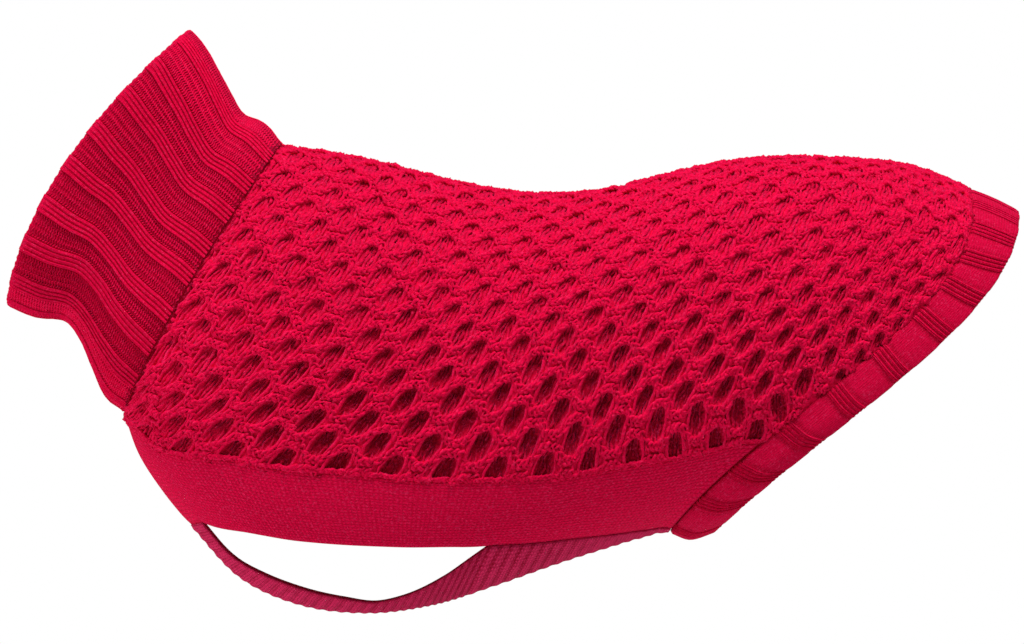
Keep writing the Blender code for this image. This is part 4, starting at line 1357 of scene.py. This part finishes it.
lengths = face_rows(HEM_BESIDE_SEAM, HEM_TURN, HEM_ROWS)
hem_profile = [(v, seam_dip(v, HEM_DIP, HEM_DIP_REACH)) for v in lengths]
hem_profile += turned_edge(HEM_TURN, HEM_WALL, HEM_TURN_ROWS)
ribbed_rows = len(hem_profile) + 1
hem_profile += [(v, HEM_WALL) for v in lengths[::-2]]
hem, hem_guide, hem_length = ribbed_ring("hem_cloth", BODY, HEM_START_U, HEM_RIB, hem_profile, ribbed_rows)
hem_yarn = knit_rib("hem", hem_guide, HEM_RIB, hem_length, seed=7.0)

# %% [markdown]
# ## The chest band
# Under the honeycomb runs one long strip of plain knit, from hem to hem across the chest. It could be cut
# from the tube with a boolean. Laid as a grid between its two seams instead, its rows of stitches run along
# the strip, as they are knitted, and its edges meet the other panels exactly.

# %% The band's edges
STRAP_STEPS, LEG_STEPS, REAR_STEPS = 10, 90, 50

share = np.linspace(0, 1, STRAP_STEPS + 1)
strap_seam = [(strap_row(leg_front[0], strap_start_u, s), 0.5 - s * (0.5 - leg_front[1])) for s in share]
leg_edge = spaced([leg_front] + on_body(BAND_UNDER_LEG) + [leg_rear], LEG_STEPS)
lower = np.concatenate([strap_seam, leg_edge[1:], spaced(behind_leg, REAR_STEPS)[1:]])
upper = spaced(band_top, len(lower) - 1)
print("the band's edge has", len(lower), "places on each side")

# %% The band
BAND_COLUMNS = 20
BAND_FACE, BAND_WALL = -0.6, 2.2
BAND_EDGE_DIP, BAND_EDGE_REACH = 0.5, 0.05
BAND_LENGTH, BAND_WIDTH = 0.62, 0.034

across = np.linspace(0, 1, BAND_COLUMNS + 1)[:, None]
half = upper[:, None, :] * (1 - across) + lower[:, None, :] * across
mirrored = half[:0:-1].copy()
mirrored[..., 1] = 1 - mirrored[..., 1]
band_u, band_g = np.moveaxis(np.concatenate([mirrored, half]), -1, 0)
band_uv = pairs(np.linspace(0, BAND_LENGTH, len(band_u))[:, None], across.T * BAND_WIDTH)
from_edge = np.minimum(across, 1 - across).T * np.ones((len(band_u), 1))
face = BODY.raised(band_u, band_g, BAND_FACE - BAND_EDGE_DIP * bell(from_edge, 0, BAND_EDGE_REACH))
back = BODY.raised(band_u, band_g, BAND_FACE - BAND_WALL)
band = thin_wall("chest_band_cloth", face, back, band_uv, plain_wool)

# %% [markdown]
# ## The strap and the belly
# The strap starts at the band's lower edge on the chest, passes between the legs and widens into the belly,
# with a ridge across it every few rows. The ridges are a wave in the height of the grid, eight rows to each.
# A bump in the material would be lighter, but the ridges show in the strap's outline, so they are real. The
# valleys between them get painted shade from the same attribute that paints shade into the honeycomb's pits.

# %% The belly's grid
RIDGE_ROWS, STRAP_RIDGES, BELLY_RIDGES = 8, 30, 17
STRAP_COLUMNS = 24

strap_edge = spaced([leg_front] + on_body(STRAP_EDGE) + [leg_rear], STRAP_RIDGES * RIDGE_ROWS)
edge = np.concatenate([strap_edge, spaced(behind_leg, BELLY_RIDGES * RIDGE_ROWS)[1:]])
lead = (strap_start_u - leg_front[0]) * np.linspace(1, 0, len(edge)) ** 2
share = np.linspace(-1, 1, STRAP_COLUMNS + 1)
belly_u = strap_row(edge[:, :1], edge[:, :1] + lead[:, None], share)
belly_g = 0.5 + share * (0.5 - edge[:, 1:])
print(f"{STRAP_RIDGES + BELLY_RIDGES} ridges from the chest to the hem")

# %% The strap and belly
BELLY_FACE, BELLY_WALL = -0.4, 2.0
BELLY_LENGTH, BELLY_WIDTH = 0.24, 0.08
RIDGE_HEIGHT, EDGE_THINNING, EDGE_THINNED = 0.45, 1.4, 0.12
# How much painted shade the valleys between the ridges get, at shares of the way from the chest to the hem
VALLEY_SHADES = ((0.0, 0.55), (0.45, 0.65), (0.6, 0.85), (0.78, 0.8), (0.92, 0.3), (1.0, 0.2))

ridge = np.sin(math.pi * np.arange(len(edge)) / RIDGE_ROWS)[:, None] ** 2
face = BODY.raised(belly_u, belly_g, BELLY_FACE + RIDGE_HEIGHT * (ridge - 0.5))
rolled = EDGE_THINNING * bell(1 - np.abs(share), 0, EDGE_THINNED)
back = BODY.raised(belly_u, belly_g, BELLY_FACE - BELLY_WALL + rolled)
belly_uv = pairs(share * BELLY_WIDTH / 2 + BELLY_WIDTH, np.linspace(0, BELLY_LENGTH, len(edge))[:, None])
# Painted shade in the valleys between the ridges
valley = np.interp(np.linspace(0, 1, len(edge)), *zip(*VALLEY_SHADES))[:, None] * (1 - ridge) + 0 * share
belly = thin_wall("belly_cloth", face, back, belly_uv, bounce_lit_rose_wool, sunk=valley)

# %% [markdown]
# ## Stage, light and camera
# The sweater is shown by itself on white, so the stage is a pale floor well below it. The world is bright to
# the camera and much dimmer as a light, or the even glow would fill the pits and flatten the knit. Two
# softboxes shape it: a strong one high on the camera's side, whose light rakes down over the ridges, and a
# weaker one at the neck end that opens up the collar. The camera is far away with a long lens, so that near
# and far parts keep nearly the same scale, and the picture's width is set in metres at the sweater.

# %% The floor and the world
FLOOR_SIZE, FLOOR_Z, FLOOR_GREY, FLOOR_ROUGHNESS = 30, -0.6, 0.9, 0.9
AMBIENT = 0.22

bpy.ops.mesh.primitive_plane_add(size=FLOOR_SIZE, location=(0, 0, FLOOR_Z))
floor = bpy.context.object
floor.name = "floor"
floor_paint = bpy.data.materials.new("pale_floor")
floor_paint.use_nodes = True
fill_inputs(floor_paint.node_tree, floor_paint.node_tree.nodes["Principled BSDF"],
            {"Base Color": (FLOOR_GREY, FLOOR_GREY, FLOOR_GREY, 1), "Roughness": FLOOR_ROUGHNESS})
floor.data.materials.append(floor_paint)

world = bpy.data.worlds.new("pale_studio")
bpy.context.scene.world = world
world.use_nodes = True
sky = world.node_tree
seen = add_node(sky, "ShaderNodeLightPath").outputs["Is Camera Ray"]
strength = math_node(sky, "ADD", math_node(sky, "MULTIPLY", seen, 1 - AMBIENT), AMBIENT)
fill_inputs(sky, sky.nodes["Background"], {"Color": (1, 1, 1, 1), "Strength": strength})
bpy.context.scene.view_settings.view_transform = "Standard"
print("ambient light:", AMBIENT)

# %% The softboxes: place, size and power in watts
SOFTBOXES = {"key": ((0.2, -0.75, 1.6), 0.7, 35), "side": ((-1.8, -0.25, -0.15), 0.6, 12)}

for name, (place, size, power) in SOFTBOXES.items():
    light = bpy.data.lights.new(name, "AREA")
    light.size, light.energy = size, power
    lamp = in_scene(name, light)
    lamp.location = place
    lamp.rotation_euler = ((cad_low + cad_high) / 2 - lamp.location).to_track_quat("-Z", "Y").to_euler()
    print(f"{name}: {power} W")

# %% The camera
CAMERA_DISTANCE = 8.0
VIEW_CENTRE = (-0.0161, -0.060)
VIEW_WIDTH = 0.5002

camera_data = bpy.data.cameras.new("camera")
camera_data.lens = camera_data.sensor_width * CAMERA_DISTANCE / VIEW_WIDTH
camera = in_scene("camera", camera_data)
camera.location = (VIEW_CENTRE[0], -CAMERA_DISTANCE, VIEW_CENTRE[1])
camera.rotation_euler = (math.radians(90), 0, 0)
bpy.context.scene.camera = camera
print(f"lens: {camera_data.lens:.0f} mm")

# %% [markdown]
# ## Each piece on the frame
# The frame knows five solids, and nothing on the sweater moves, so every piece rides the same body. Each
# cloth replaces its solid, and its yarn goes with it. The sheets are declared with the size that a maker
# would knit: flat and unstretched. A worn panel can measure more than that, because the knit gives.

# %% Riding and replacing
for cloth, node, slot_name in (
    (honeycomb, "back_panel", "honeycomb_knit"), (collar, "collar", "rib_knit"),
    (hem, "hem_band", "rib_knit"), (band, "chest_band", "plain_knit"), (belly, "belly_panel", "ridged_knit"),
):
    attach(cloth, "root")
    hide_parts(node)
for yarn, slot_name in ((honeycomb_yarn, "honeycomb_knit"), (collar_yarn + hem_yarn, "rib_knit")):
    for piece in yarn:
        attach(piece, "root")
